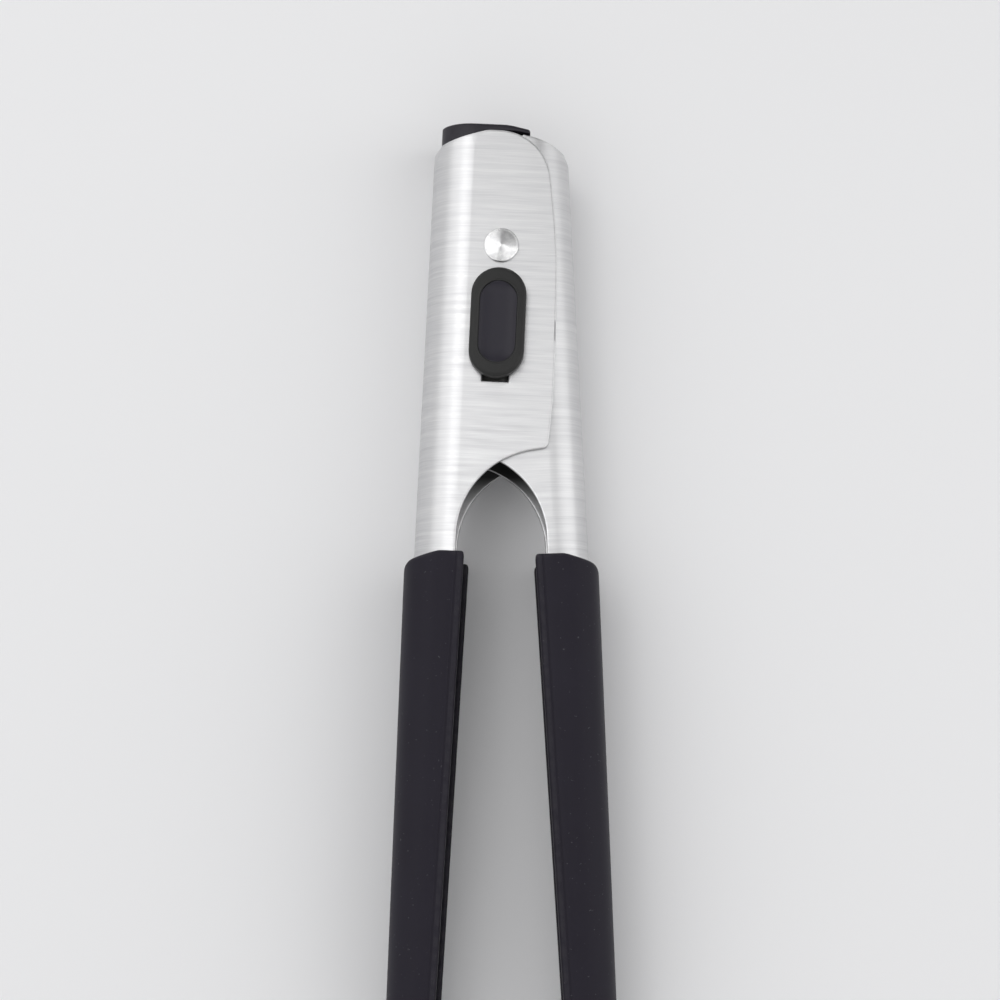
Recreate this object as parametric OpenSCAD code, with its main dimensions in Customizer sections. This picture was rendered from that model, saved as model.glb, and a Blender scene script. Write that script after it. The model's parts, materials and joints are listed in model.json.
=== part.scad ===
// Spring loaded kitchen tongs, lying on their side with the arms closed.
// +Z is the pivot axis, +Y runs from the tips to the head, and the origin is the
// middle of the underside. Millimetres and degrees.

/* [Arms] */
// Thickness of the stainless sheet
sheet_t = 1; // [0.8:0.1:1.3]
// Width of the outer arm across its cheeks
head_t = 22; // [20:0.5:26]
// Distance from the pivot axis to the back of each arm
back_x = 17.2; // [16.4:0.1:19]
// Outer radius of the bend between the back and a cheek
bend_r = 9.5; // [8:0.5:10]
// Clearance between the nested cheeks
cheek_gap = 0.4; // [0.35:0.05:0.7]
// Lean of each closed arm away from the centre line
arm_lean = 2.6; // [1.5:0.1:3.5]
// Angle through which the right arm opens
open_angle = 28; // [20:1:30]
// Clearance of the inner cheeks inside the outer channel as they swing
swing_gap = 0.6; // [0.4:0.1:1]

/* [Head outline] */
// Height of the steel above the pivot, at the crown
crown_y = 28.4; // [27.5:0.1:31]
// Fall of the steel from the crown to the back
back_fall = 4.1; // [2:0.1:5]
// Reach of the outer cheek across the head, at its widest
seam_x = 14; // [13:0.05:14.5]
// Depth of the cheeks below the pivot
corner_y = 48; // [44:0.5:52]
// Radius of the arch under the cheeks
arch_r = 21; // [17:0.5:21]
// Distance of the round end of the inner arm inside the crown
nest_inset = 0.1; // [0:0.1:1.5]

/* [Grips] */
// Distance from the pivot to the upper end of the grips
grip_y = 73.6; // [72:0.5:85]
// Length of the grips
grip_len = 117; // [80:1:140]
// Turn of each arm at the upper end of its grip, towards the other arm
bow_angle = 0.62; // [0:0.01:1]
// Depth of the cheeks at the upper end of the grips
cheek_d0 = 9.8; // [9:0.1:11]
// Depth of the cheeks at the lower end of the grips
cheek_d1 = 6.8; // [6:0.1:8]
// Thickness of the hard grip core on the outer arm
core_t = 0.8; // [0.6:0.1:1.5]
// Thickness of the soft grip sleeve
grip_t = 1.3; // [1:0.1:2.5]
// Outer corner radius of the grip section
grip_corner_r = 8; // [5:0.5:9]
// Width of the sloping shoulder at the upper end of each grip
grip_shoulder_w = 8; // [6:0.1:9]
// Fall of this shoulder
grip_shoulder_fall = 2.2; // [1:0.1:3]
// Radius of the corner at the lower end of each grip
grip_end_r = 6; // [3:0.5:8]
// Depth of the lip that the grip wraps over the edge of the steel
lip_t = 0.8; // [0.5:0.1:1.5]
// Diameter of the rivets that hold the grip cores
core_rivet_d = 3; // [2:0.5:4]
// Height of the heads of these rivets
core_rivet_head_h = 0.8; // [0.5:0.1:1.2]
// Distance from each end of the grip to its rivet
core_rivet_inset = 22; // [15:1:35]

/* [Tips] */
// Radius of the curve that brings the tips together
tip_r = 155; // [150:1:170]
// Radius of the cupped section of the scoops
cup_r = 17; // [16:0.5:20]
// Half width of the neck above the scoop
neck_w = 7.9; // [7:0.1:8.2]
// Depth of the cheeks at the neck
neck_d = 2.8; // [2.4:0.1:3.4]
// Distance from the grip to the neck
neck_y = 34; // [28:1:38]
// Distance from the grip to the full width of the scoop
scoop_y = 56; // [52:1:62]
// Gap between the closed tips
tip_gap = 1.6; // [1:0.1:4]
// Radius of the scallops round the scoop
scallop_r = 1.8; // [1:0.1:2]
// Pitch of the scallops
scallop_pitch = 4.6; // [4.4:0.1:5]

/* [Pivot] */
// Diameter of the rivet shank
rivet_d = 5; // [4:0.1:6]
// Running clearance of the inner arm on the shank, on the radius
pivot_clear = 0.05; // [0.02:0.01:0.1]
// Diameter of the rivet head
rivet_head_d = 8.2; // [7.5:0.1:9]
// Height of the rivet head
rivet_head_h = 1.3; // [0.8:0.1:2]
// Thickness of the washer under the closed end of the rivet
washer_t = 0.6; // [0.4:0.1:0.8]
// Diameter of the washers at the pivot
washer_d = 13; // [11:0.5:14]
// Height of the closed end of the rivet
closed_end_h = 0.9; // [0.6:0.1:1.1]
// Outer diameter of the spacer sleeve
sleeve_d = 9.6; // [8:0.1:10]

/* [Spring] */
// Diameter of the spring wire
wire_d = 1.8; // [1.2:0.1:2]
// Full turns of the coil
coil_turns = 4; // [2:1:5]
// Clearance between the coil and the sleeve
coil_gap = 0.5; // [0.3:0.1:1]
// Distance from the pivot to the ends of the spring legs
leg_y = 33; // [25:1:40]
// Clearance between a leg and the back that it presses on
leg_gap = 0.3; // [0.3:0.1:0.6]

/* [Lock] */
// Width of the slide button
button_w = 13; // [11:0.5:14]
// Length of the slide button
button_len = 26.4; // [24.5:0.1:28]
// Height of the slide button
button_h = 3.2; // [2.4:0.1:4]
// Distance from the pivot to the middle of the button
button_y = 19.1; // [19:0.1:21]
// Gap between the button and the cheek
button_gap = 0.15; // [0.1:0.05:0.3]
// Width of the neck of the button
neck_slot_w = 6.2; // [5:0.1:7]
// Length of the neck of the button
neck_len = 18.3; // [17:0.1:19]
// Travel of the slide button
lock_travel = 4.5; // [4:0.1:5]
// Clearance of the neck in its slot
slot_gap = 0.1; // [0.05:0.05:0.3]
// Diameter of the lock stud
stud_d = 3; // [2.5:0.1:3.4]
// Clearance of the stud in the slots of the inner arm
stud_gap = 0.3; // [0.3:0.05:0.5]
// Distance from the pivot to the released stud
stud_y = 12; // [11.6:0.1:13]
// Width of the dished pad in the button
pad_w = 8.8; // [7:0.1:10]
// Length of the dished pad in the button
pad_len = 19.6; // [17:0.1:21]
// Depth of the pocket for the pad
pad_t = 1.6; // [1.2:0.1:2]
// Depth of the dish of the pad
dish_depth = 0.9; // [0.5:0.1:1]
// Thickness of the retaining plate
plate_t = 0.8; // [0.6:0.1:1]
// Width of the retaining plate
plate_w = 9; // [7:0.5:10]

/* [End cap] */
// Height of the cap above the crown of the steel
cap_rise = 1.9; // [1.6:0.1:4]
// Clearance of the cap to the parts round it
cap_gap = 0.1; // [0.05:0.05:0.3]
// Clearance of the cap to the swinging arm
cap_swing_gap = 0.4; // [0.3:0.1:0.6]
// Depth of the plug of the cap, measured from the pivot
plug_y = 14; // [12:0.5:18]
// Reach of the roof over the inner arm, from the middle of the outer arm
roof_x = 5.3; // [4:0.1:7]
// Diameter of the peg that holds the cap in the back of the arm
peg_d = 3; // [2:0.5:4]

/* [Hidden] */
RIGHT = 1;
LEFT = -1;
fine = 96;          // fragments of a full circle on small round parts
arc_step = 3;       // largest turn between two points of an outline
far = 60;           // reach of a cutting shape past anything that it cuts
cut = 1;            // overrun of a cut past the face that it opens

steel = [0.78, 0.78, 0.77];
rubber = [0.12, 0.12, 0.13];
nylon = [0.2, 0.2, 0.21];

// Half thicknesses across the cheeks, outer face and inner face of each channel.
outer_half = head_t / 2;
outer_in = outer_half - sheet_t;
nest_half = outer_in - cheek_gap;
nest_in = nest_half - sheet_t;
nest_bend_r = bend_r - sheet_t - cheek_gap;
core_half = outer_half + core_t;
grip_half = core_half + grip_t;
core_bend_r = bend_r + core_t;
grip_back = core_t + grip_t;

// Ends of the arms at the head, measured up from the pivot.
back_top_y = crown_y - back_fall;
nest_top_r = crown_y - nest_inset;
cap_y = crown_y + cap_rise;

// Free edge of the outer cheek, from its crown round a shoulder and down the seam, whose
// upper end, shoulder and lower corner stand in from its widest place.
crown_x = 4.5;
crown_r = 6;
shoulder_in = 4.6;
shoulder_r = 12.7;
seam_top_in = 0.6;
seam_top_y = 0.6;
seam_low_y = 36.5;
seam_r = 175;
corner_in = 0.95;
corner_r = 1.5;
corner_slope = 0.2;

// Nearest place to the outer channel's bend that an inner cheek can swing to.
nest_run = sqrt(pow(bend_r - sheet_t, 2) - pow(bend_r - sheet_t - cheek_gap, 2));
cheek_reach = back_x - bend_r + nest_run - swing_gap;
low_normal = 180 - 2 * arm_lean;
high_normal = low_normal - open_angle;

// Each arm is one sheet, made here of lapped lengths: head, grip, tip and scoop. Each
// lies a small step inside the one above it, and the first two laps are in the grip.
lap = 3;
lap_step = 0.05;
scoop_step = 0.2;
edge_x0 = back_x - cheek_d0;
tip_c = [-tip_r, -grip_len];
tip_c_closed = turn([back_x, -grip_y] + turn(tip_c, -bow_angle), arm_lean);
scoop_set = 2 * lap_step + scoop_step;
neck_turn = neck_y / tip_r * 180 / PI;
lap_turn = lap / tip_r * 180 / PI;
tip_y = -rim_y(0);

// Side of the cap above the steel, and the highest place of its leaning roof.
cap_side_x = back_x - 1.7;
cap_corner_r = 1;
cap_top_y = (cap_side_x - cap_corner_r) * sin(arm_lean)
    + (cap_y - cap_corner_r) * cos(arm_lean) + cap_corner_r;

// Rest plane and middle of the length.
mid_z = grip_half;
mid_y = (cap_top_y - tip_y) / 2;

// Lock: places along the slot, measured down from the pivot.
neck_top = button_y - neck_len / 2;
neck_end = button_y + neck_len / 2;
stud_r = stud_d / 2;
stud_track = stud_r + stud_gap;
stud_lock_y = stud_y + lock_travel;
track_angle = -90 - 2 * arm_lean;
button_z = outer_half + button_gap;
plate_gap = 0.2;    // between the retaining plate and the inner cheek
plate_top = nest_in - plate_gap;
stud_seat = (button_h - pad_t) / 2;
stud_head_h = 0.6;
stud_head_out = 0.7;
coil_r = sleeve_d / 2 + coil_gap + wire_d / 2;
turn_gap = 0.15;    // between two turns of the coil
coil_pitch = wire_d + turn_gap;
coil_h = (coil_turns + 0.5) * coil_pitch;
leg_bend_run = sqrt(max(0, pow(bend_r - sheet_t, 2)
    - pow(max(0, coil_h / 2 + wire_d / 2 - outer_half + bend_r), 2)));

// A point turned about the pivot.
function turn(p, a) = [p.x * cos(a) - p.y * sin(a), p.x * sin(a) + p.y * cos(a)];

// Point of the circle round c.
function on_circle(c, r, a) = c + r * [cos(a), sin(a)];

// Points of an arc from a0 to a1.
function arc(c, r, a0, a1) =
    let (n = max(1, ceil(abs(a1 - a0) / arc_step)))
    [for (i = [0:n]) on_circle(c, r, a0 + (a1 - a0) * i / n)];

// Closed outline with rounded corners, from points [x, y, radius].
function rounded(pts) = [for (i = [0:len(pts) - 1])
    let (
        n = len(pts),
        p = [pts[i].x, pts[i].y],
        u = unit([pts[(i + n - 1) % n].x, pts[(i + n - 1) % n].y] - p),
        v = unit([pts[(i + 1) % n].x, pts[(i + 1) % n].y] - p),
        half = acos(u * v) / 2,
        r = pts[i].z,
        c = p + unit(u + v) * r / sin(half),
        f = c - p,
        s = u.x * v.y - u.y * v.x > 0 ? 1 : -1,
        a0 = atan2(-f.y, -f.x) + s * (90 - half)
    )
    each r == 0 ? [p] : arc(c, r, a0, a0 - s * (180 - 2 * half))];

function unit(v) = v / norm(v);

// Where the line at distance d from the pivot, square to the direction a, has this y.
function line_x(d, a, y) = (d - y * sin(a)) / cos(a);

// Drop of the cupped section below its back, at the distance w from the middle.
function cup_drop(w) = cup_r - sqrt(cup_r * cup_r - w * w);

// Height of the scoop's rim, which lies in the plane between the closed tips.
function rim_y(w) =
    let (
        r = tip_r - scoop_set - cup_drop(w),
        a = acos((tip_gap / 2 - tip_c_closed.x) / r)
    )
    tip_c_closed.y - r * sin(a);

// Stands its children in the closed tongs, whose pivot axis is the Z axis.
module placed() {
    translate([0, -mid_y, mid_z]) children();
}

// The frame of one arm: +X is out through its back and -Y runs down along the arm.
module arm_frame(side) {
    mirror([side == LEFT ? 1 : 0, 0, 0]) rotate([0, 0, arm_lean]) children();
}

// Section filled from the back inwards. X is the distance out of the back line.
module filled_section(half, r, deep) {
    translate([-deep, -half]) square([deep - r, 2 * half]);
    translate([-r, r - half]) square([r, 2 * (half - r)]);
    for (s = [-1, 1]) {
        translate([-r, s * (half - r)]) circle(r, $fn = fine);
    }
}

// Section of the bent sheet, set in from the faces of the head by a step.
module channel_section(half, r, set) {
    difference() {
        translate([-set, 0]) filled_section(half - set, r - set, far / 2);
        translate([-sheet_t - set, 0])
            filled_section(half - sheet_t - set, r - sheet_t - set, far);
    }
}

// The frame of the grip, in that of the arm: its origin is on the back at the grip's end.
module grip_frame() {
    translate([back_x, -grip_y, 0]) rotate([0, 0, -bow_angle]) children();
}

// Sweeps a section straight down along the back, from y0 to y1.
module straight_sweep(y0, y1) {
    translate([0, y0, 0]) rotate([90, 0, 0]) linear_extrude(y0 - y1) children();
}

// Sweeps a section along the curve of the tip, from turn a0 to turn a1.
module tip_sweep(a0, a1) {
    translate(tip_c) rotate([0, 0, -a1])
        rotate_extrude(angle = a1 - a0, $fn = 360) translate([tip_r, 0]) children();
}

// A plate across the arm, with the outline of the points.
module across(pts, height) {
    translate([0, 0, -height / 2]) linear_extrude(height) polygon(pts);
}

// Lower edge of either arm's cheeks, from the corner under the pivot to the grip.
function cheek_edge(corner_x) = [
    [-corner_x, -corner_y, corner_r],
    [edge_x0, -corner_y - corner_slope * (corner_x + edge_x0), arch_r],
    [edge_x0, -grip_y - lap, 0],
    [back_x + cut, -grip_y - lap, 0],
];

outer_outline = rounded(concat(
    [
        [back_x + cut, back_top_y, 0],
        [crown_x, crown_y, crown_r],
        [shoulder_in - seam_x, crown_y, shoulder_r],
        [seam_top_in - seam_x, seam_top_y, seam_r],
        [-seam_x, -seam_low_y, seam_r],
    ],
    cheek_edge(seam_x - corner_in)
));

// The inner cheeks end where they would meet the bend of the outer channel. From
// cheek_line_y below the pivot their edge is straight.
cheek_line_y = 20;
nest_top_a = high_normal - acos(cheek_reach / nest_top_r);
inner_outline = concat(
    arc([0, 0], nest_top_r, acos((back_x + cut) / nest_top_r), nest_top_a),
    arc([0, 0], cheek_reach, high_normal, low_normal),
    rounded(concat([[line_x(cheek_reach, low_normal, -cheek_line_y), -cheek_line_y, 0]],
        cheek_edge(-line_x(cheek_reach, low_normal, -corner_y))))
);

// Edge of the cheeks past the grip: their depth falls to neck_d at the neck.
function tip_edge(f) =
    let (d = neck_d + (cheek_d1 - lap_step - neck_d) * (1 + cos(180 * min(1, max(0, f)))) / 2)
    on_circle(tip_c, tip_r - d, -f * neck_turn);
tip_edge_steps = 12;
tip_edge_outline = concat(
    [for (i = [-1:tip_edge_steps + 1]) tip_edge(i / tip_edge_steps)],
    [on_circle(tip_c, tip_r + cut, -neck_turn - lap_turn), [lap, -grip_len + lap]]
);

// The steel of one arm from its head to the neck of its tip.
module channel(half, r, outline) {
    intersection() {
        translate([back_x, 0, 0]) straight_sweep(crown_y + cut, -grip_y - lap)
            channel_section(half, r, 0);
        across(outline, head_t + 2 * cut);
    }
    grip_frame() {
        intersection() {
            straight_sweep(0, -grip_len) channel_section(half, r, lap_step);
            across([
                [cheek_edge_x(-cut), cut],
                [cut, cut],
                [cut, -grip_len - cut],
                [cheek_edge_x(grip_len + cut), -grip_len - cut],
            ], head_t + 2 * cut);
        }
        intersection() {
            tip_sweep(-lap_turn, neck_turn + lap_turn / 2)
                channel_section(half, r, 2 * lap_step);
            across(tip_edge_outline, head_t + 2 * cut);
        }
    }
}

// Outline of the scoop seen from the middle of the tongs, from the neck to past its end.
neck_r = 25;
widening_r = 30;
scoop_outline = rounded([
    [lap - neck_y, neck_w, 0],
    [-neck_y - lap, neck_w, neck_r],
    [-scoop_y, grip_half, widening_r],
    [-tip_r, grip_half, 0],
    [-tip_r, -grip_half, 0],
    [-scoop_y, -grip_half, widening_r],
    [-neck_y - lap, -neck_w, neck_r],
    [lap - neck_y, -neck_w, 0],
]);

// The cupped scoop, which widens from the neck and ends in a scalloped rim.
scoop_turn = 45;    // sweep that reaches past the rim
scallops = 6;
module scoop() {
    difference() {
        grip_frame() intersection() {
            tip_sweep(neck_turn - 2 * lap_turn, neck_turn + scoop_turn)
                translate([-scoop_set - cup_r, 0]) cup_section();
            translate([0, -grip_len, 0]) rotate([0, -90, 0])
                linear_extrude(4 * far, center = true) rotate(90) polygon(scoop_outline);
        }
        rotate([0, 0, -arm_lean]) {
            translate([tip_gap / 2 - 4 * far, -8 * far, -far]) cube([4 * far, 8 * far, 2 * far]);
            for (i = [0.5 - scallops / 2:scallops / 2 - 0.5]) {
                translate([tip_gap / 2 - cut, rim_y(abs(i) * scallop_pitch), i * scallop_pitch])
                    rotate([0, 90, 0]) cylinder(h = far, r = scallop_r, $fn = fine);
            }
        }
    }
}

module cup_section() {
    intersection() {
        difference() {
            circle(cup_r, $fn = 2 * fine);
            circle(cup_r - sheet_t, $fn = 2 * fine);
        }
        translate([0, -cup_r]) square(2 * cup_r);
    }
}

// Holes in the back of an arm for the rivets of its grip core.
module core_rivet_places() {
    for (y = [core_rivet_inset, grip_len - core_rivet_inset]) {
        translate([0, -y, 0]) rotate([0, 90, 0]) children();
    }
}

module core_rivet_holes() {
    core_rivet_places() cylinder(h = 4 * sheet_t, d = core_rivet_d, center = true, $fn = fine);
}

module left_arm() {
    color(steel) placed() arm_frame(LEFT) difference() {
        union() {
            channel(outer_half, bend_r, outer_outline);
            scoop();
        }
        cylinder(h = head_t + 2 * cut, d = rivet_d, center = true, $fn = fine);
        // straight slot for the neck of the button, in the near cheek
        translate([-neck_slot_w / 2 - slot_gap, -neck_end - lock_travel - slot_gap, outer_in - cut])
            cube([neck_slot_w + 2 * slot_gap, neck_len + lock_travel + 2 * slot_gap, far]);
        grip_frame() core_rivet_holes();
        cap_peg(peg_d);
    }
}

module right_arm() {
    color(steel) placed() arm_frame(RIGHT) difference() {
        union() {
            channel(nest_half, nest_bend_r, inner_outline);
            scoop();
        }
        cylinder(h = head_t, r = rivet_d / 2 + pivot_clear, center = true, $fn = fine);
        stud_slots();
        grip_frame() core_rivet_holes();
    }
}

// Track of the stud in the near cheek of the inner arm: round the pivot while the lock
// is off, outwards into the notch that holds the arms closed, and an open mouth at the
// other end where the stud goes in.
module stud_slots() {
    track_w = 2 * stud_track;
    translate([0, 0, nest_in - cut]) {
        rotate([0, 0, track_angle - open_angle])
            rotate_extrude(angle = open_angle, $fn = 4 * fine)
                translate([stud_y - stud_track, 0]) square([track_w, far]);
        rotate([0, 0, track_angle]) translate([stud_y, -stud_track, 0])
            cube([lock_travel, track_w, far]);
        rotate([0, 0, track_angle - open_angle]) translate([stud_y, -stud_track, 0])
            cube([far / 2, track_w, far]);
        for (a = [track_angle, track_angle - open_angle]) {
            rotate([0, 0, a]) translate([stud_y, 0, 0]) cylinder(h = far, r = stud_track, $fn = fine);
        }
        rotate([0, 0, track_angle]) translate([stud_lock_y, 0, 0])
            cylinder(h = far, r = stud_track, $fn = fine);
    }
}

module pivot_rivet() {
    end_z = outer_half + washer_t;
    foot = 0.3;         // bevel under the edge of the head
    rim = 0.5;          // depth of the round between its edge and its face
    low_r = rivet_d / 2 + 0.4;
    roll_r = rivet_d / 2 + 1.2;
    color(steel) placed() {
        translate([0, 0, -end_z]) cylinder(h = end_z + outer_half, d = rivet_d, $fn = fine);
        // turned head: a short cylinder with a low cone on it
        translate([0, 0, outer_half]) rotate_extrude($fn = fine) polygon([
            [0, 0],
            [rivet_head_d / 2 - foot, 0],
            [rivet_head_d / 2, foot],
            [rivet_head_d / 2, rivet_head_h - rim],
            [rivet_head_d / 2 - 0.7 * rim, rivet_head_h - 0.4 * rim],
            [0, rivet_head_h],
        ]);
        // closed far end, rolled over the washer
        translate([0, 0, -end_z - closed_end_h]) rotate_extrude($fn = fine) polygon([
            [0, 0],
            [low_r, 0],
            [roll_r, closed_end_h * 0.6],
            [roll_r, closed_end_h],
            [0, closed_end_h],
        ]);
    }
}

module ring(outer_d, inner_d, height) {
    difference() {
        cylinder(h = height, d = outer_d, $fn = fine);
        translate([0, 0, -cut]) cylinder(h = height + 2 * cut, d = inner_d, $fn = fine);
    }
}

rivet_washer_d = rivet_d + 4;
module rivet_washer() {
    color(steel) placed() translate([0, 0, -outer_half - washer_t])
        ring(rivet_washer_d, rivet_d, washer_t);
}

sleeve_gap = 0.1;   // between the sleeve and each inner cheek
module spacer_sleeve() {
    long = 2 * (nest_in - sleeve_gap);
    color("ivory") placed() translate([0, 0, -long / 2]) ring(sleeve_d, rivet_d, long);
}

cheek_washer_t = 0.6 * cheek_gap;
module near_cheek_washer() {
    color("ivory") placed() translate([0, 0, outer_in - cheek_washer_t])
        ring(washer_d, rivet_d, cheek_washer_t);
}

module far_cheek_washer() {
    color("ivory") placed() translate([0, 0, -outer_in]) ring(washer_d, rivet_d, cheek_washer_t);
}

// Wire of the spring: up the left leg, round the coil clockwise and down the right leg.
leg_reach = back_x - bend_r + leg_bend_run - wire_d / 2 - leg_gap;
leg_top_y = 4;
coil_steps = 20;
coil_half_turns = 2 * coil_turns + 1;
function leg_end(side, z) =
    let (p = turn([leg_reach, -leg_y], arm_lean)) [side * p.x, p.y, z];
spring_path = concat(
    [leg_end(LEFT, -coil_h / 2), [-coil_r, -leg_top_y, -coil_h / 2]],
    [for (i = [0:coil_half_turns * coil_steps / 2])
        let (f = i / (coil_half_turns * coil_steps / 2), a = 180 - 180 * coil_half_turns * f)
        [coil_r * cos(a), coil_r * sin(a), coil_h * (f - 0.5)]],
    [[coil_r, -leg_top_y, coil_h / 2], leg_end(RIGHT, coil_h / 2)]
);

function along(path, i) =
    unit(path[min(i + 1, len(path) - 1)] - path[max(i - 1, 0)]);

// Ring of points round one point of the path, level rings on a wire that lies nearly flat.
function wire_ring(path, i, r, n) =
    let (t = along(path, i), side = unit(cross(t, [0, 0, 1])), up = cross(side, t))
    [for (k = [0:n - 1]) path[i] + r * (side * cos(360 * k / n) + up * sin(360 * k / n))];

module wire(path, r, n) {
    m = len(path);
    polyhedron(
        points = [for (i = [0:m - 1]) each wire_ring(path, i, r, n)],
        faces = concat(
            [[for (k = [0:n - 1]) k]],
            [for (i = [0:m - 2], k = [0:n - 1]) [
                i * n + k, (i + 1) * n + k, (i + 1) * n + (k + 1) % n, i * n + (k + 1) % n,
            ]],
            [[for (k = [n - 1:-1:0]) (m - 1) * n + k]]
        ),
        convexity = 8
    );
}

module torsion_spring() {
    color("silver") placed() wire(spring_path, wire_d / 2, 8);
}

// Inside of a channel, shrunk by a clearance, as a solid above the pivot.
module channel_inside(half, r, gap) {
    in = sheet_t + gap;
    translate([back_x, 0, 0]) straight_sweep(2 * far, 0)
        translate([-in, 0]) filled_section(half - in, r - in, far);
}

module cap_peg(d) {
    translate([back_x - 2 * sheet_t, (back_top_y + plug_y) / 2, 0])
        rotate([0, 90, 0]) cylinder(h = 2 * sheet_t, d = d, $fn = fine);
}

// The cap fills the outer channel. It leaves out what the head of the inner arm sweeps,
// so it has a roof over that arm and a plug, on which its open channel comes to rest.
module end_cap() {
    roof_flat_x = -0.5;
    roof_flat_r = 12;
    roof_end_y = cap_y - 1;
    roof_end_r = 1.2;
    roof_end_run = 1.8;
    color(nylon) placed() {
        difference() {
            arm_frame(LEFT) intersection() {
                channel_inside(outer_half, bend_r, cap_gap);
                across(rounded([
                    [-roof_x - roof_end_run, plug_y, 0],
                    [back_x, plug_y, 0],
                    [back_x, back_top_y, 0],
                    [cap_side_x, back_top_y, 0],
                    [cap_side_x, cap_y, cap_corner_r],
                    [roof_flat_x, cap_y, roof_flat_r],
                    [-roof_x, roof_end_y, roof_end_r],
                    [-roof_x - roof_end_run, back_top_y, 0],
                ]), head_t);
            }
            difference() {
                cylinder(h = head_t, r = nest_top_r + cap_swing_gap, center = true, $fn = 2 * fine);
                rotate([0, 0, open_angle]) arm_frame(RIGHT)
                    channel_inside(nest_half, nest_bend_r, cap_swing_gap);
            }
        }
        arm_frame(LEFT) intersection() {
            cap_peg(peg_d);
            translate([0, 0, -far]) cube([back_x, 2 * far, 2 * far]);
        }
    }
}

// Rounded bar whose ends are half circles, standing on the cheek below the pivot.
module oval(wide, long, high, y) {
    for (s = [-1, 1]) {
        translate([0, s * (long - wide) / 2 - y, 0]) cylinder(h = high, d = wide, $fn = fine);
    }
    translate([-wide / 2, -(long - wide) / 2 - y, 0]) cube([wide, long - wide, high]);
}

neck_in = 0.05;     // set-back of the neck's end from the inside of its cheek
module lock_button() {
    color(rubber) placed() arm_frame(LEFT) {
        difference() {
            translate([0, 0, button_z]) oval(button_w, button_len, button_h, button_y);
            translate([0, 0, button_z + button_h - pad_t])
                oval(pad_w, pad_len, pad_t + cut, button_y);
            stud_hole();
        }
        difference() {
            translate([-neck_slot_w / 2, -neck_end, outer_in + neck_in])
                cube([neck_slot_w, neck_len, button_z - outer_in]);
            stud_hole();
        }
    }
}

module stud_hole() {
    translate([0, -stud_y, nest_half])
        cylinder(h = button_z + stud_seat - nest_half, r = stud_r, $fn = fine);
}

// Pad of the button, dished by a shallow cylinder across it.
module lock_pad() {
    color(nylon) placed() arm_frame(LEFT) difference() {
        translate([0, 0, button_z + button_h - pad_t]) oval(pad_w, pad_len, pad_t, button_y);
        translate([0, -button_y, button_z + button_h + far - dish_depth]) rotate([0, 90, 0])
            cylinder(h = pad_w + 2 * cut, r = far, center = true, $fn = 6 * fine);
    }
}

module lock_stud() {
    low = plate_top - plate_t - stud_head_h;
    color(steel) placed() arm_frame(LEFT) translate([0, -stud_y, 0]) {
        translate([0, 0, low])
            cylinder(h = button_z + stud_seat - low, r = stud_r, $fn = fine);
        // peened end under the retaining plate
        translate([0, 0, low])
            cylinder(h = stud_head_h, r = stud_r + stud_head_out, $fn = fine);
    }
}

plate_over = 3;     // reach of the plate above the stud's track
module lock_retainer() {
    color(steel) placed() arm_frame(LEFT) translate([0, 0, plate_top - plate_t]) difference() {
        translate([-plate_w / 2, -stud_lock_y - stud_track, 0])
            cube([plate_w, lock_travel + 2 * stud_track + plate_over, plate_t]);
        translate([0, -stud_y, -cut]) cylinder(h = plate_t + 2 * cut, r = stud_r, $fn = fine);
    }
}

// Bowed leaf under the plate: it drags on the spacer side and holds the button still.
module lock_spring() {
    leaf_t = 0.3;
    leaf_w = 5;
    leaf_len = 9;
    leaf_r = 14;
    leaf_y = stud_y + stud_r + stud_head_out + 0.2;
    color("silver") placed() arm_frame(LEFT) intersection() {
        translate([-leaf_w / 2, -leaf_y, plate_top - plate_t - leaf_r])
            rotate([0, 90, 0]) ring(2 * leaf_r, 2 * (leaf_r - leaf_t), leaf_w);
        translate([-leaf_w, -leaf_y - leaf_len, 0]) cube([2 * leaf_w, leaf_len, far]);
    }
}

// Edge of the cheeks under the grip, at the distance y from its upper end.
function cheek_edge_x(y) = -cheek_d0 + (cheek_d0 - cheek_d1) * y / grip_len;

// Outline of a grip or its core seen across the arm. lip is its reach past the edge of
// the steel, out its thickness over the back and in its distance inside the grip's ends.
grip_lip_r = 1;
grip_shoulder_r = 5;
grip_top_r = 2;
function grip_outline(lip, out, in) = rounded([
    [cheek_edge_x(in) - lip, -in, grip_lip_r],
    [out - grip_shoulder_w, -in, grip_shoulder_r],
    [out, -in - grip_shoulder_fall, grip_top_r],
    [out, in - grip_len, grip_end_r],
    [cheek_edge_x(grip_len - in) - lip, in - grip_len, grip_lip_r],
]);

// One solid layer of a grip, filled to the middle of the tongs.
module grip_layer(half, r, out, lip, in) {
    intersection() {
        straight_sweep(-in, in - grip_len) translate([out, 0]) filled_section(half, r, far / 2);
        across(grip_outline(lip, out, in), head_t + far);
    }
}

// What a layer lies on: the same solid without end walls, open past both ends.
module layer_inside(half, r, out, lip) {
    intersection() {
        straight_sweep(cut, -grip_len - cut)
            translate([out, 0]) filled_section(half, r, far / 2);
        across([
            [cheek_edge_x(-cut) - lip, cut],
            [far, cut],
            [far, -grip_len - cut],
            [cheek_edge_x(grip_len + cut) - lip, -grip_len - cut],
        ], head_t + far);
    }
}

// The open inside of the channel, between the lips.
module channel_mouth(side) {
    set = sheet_t + lip_t;
    half = side == LEFT ? outer_half : nest_half;
    r = side == LEFT ? bend_r : nest_bend_r;
    straight_sweep(cut, -grip_len - cut)
        translate([-set, 0]) filled_section(half - set, r - set, far / 2);
}

module grip_sleeve(side) {
    color(rubber) placed() arm_frame(side) grip_frame() difference() {
        grip_layer(grip_half, grip_corner_r, grip_back, lip_t + grip_back, 0);
        layer_inside(core_half, core_bend_r, core_t, lip_t + core_t);
        channel_mouth(side);
    }
}

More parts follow.
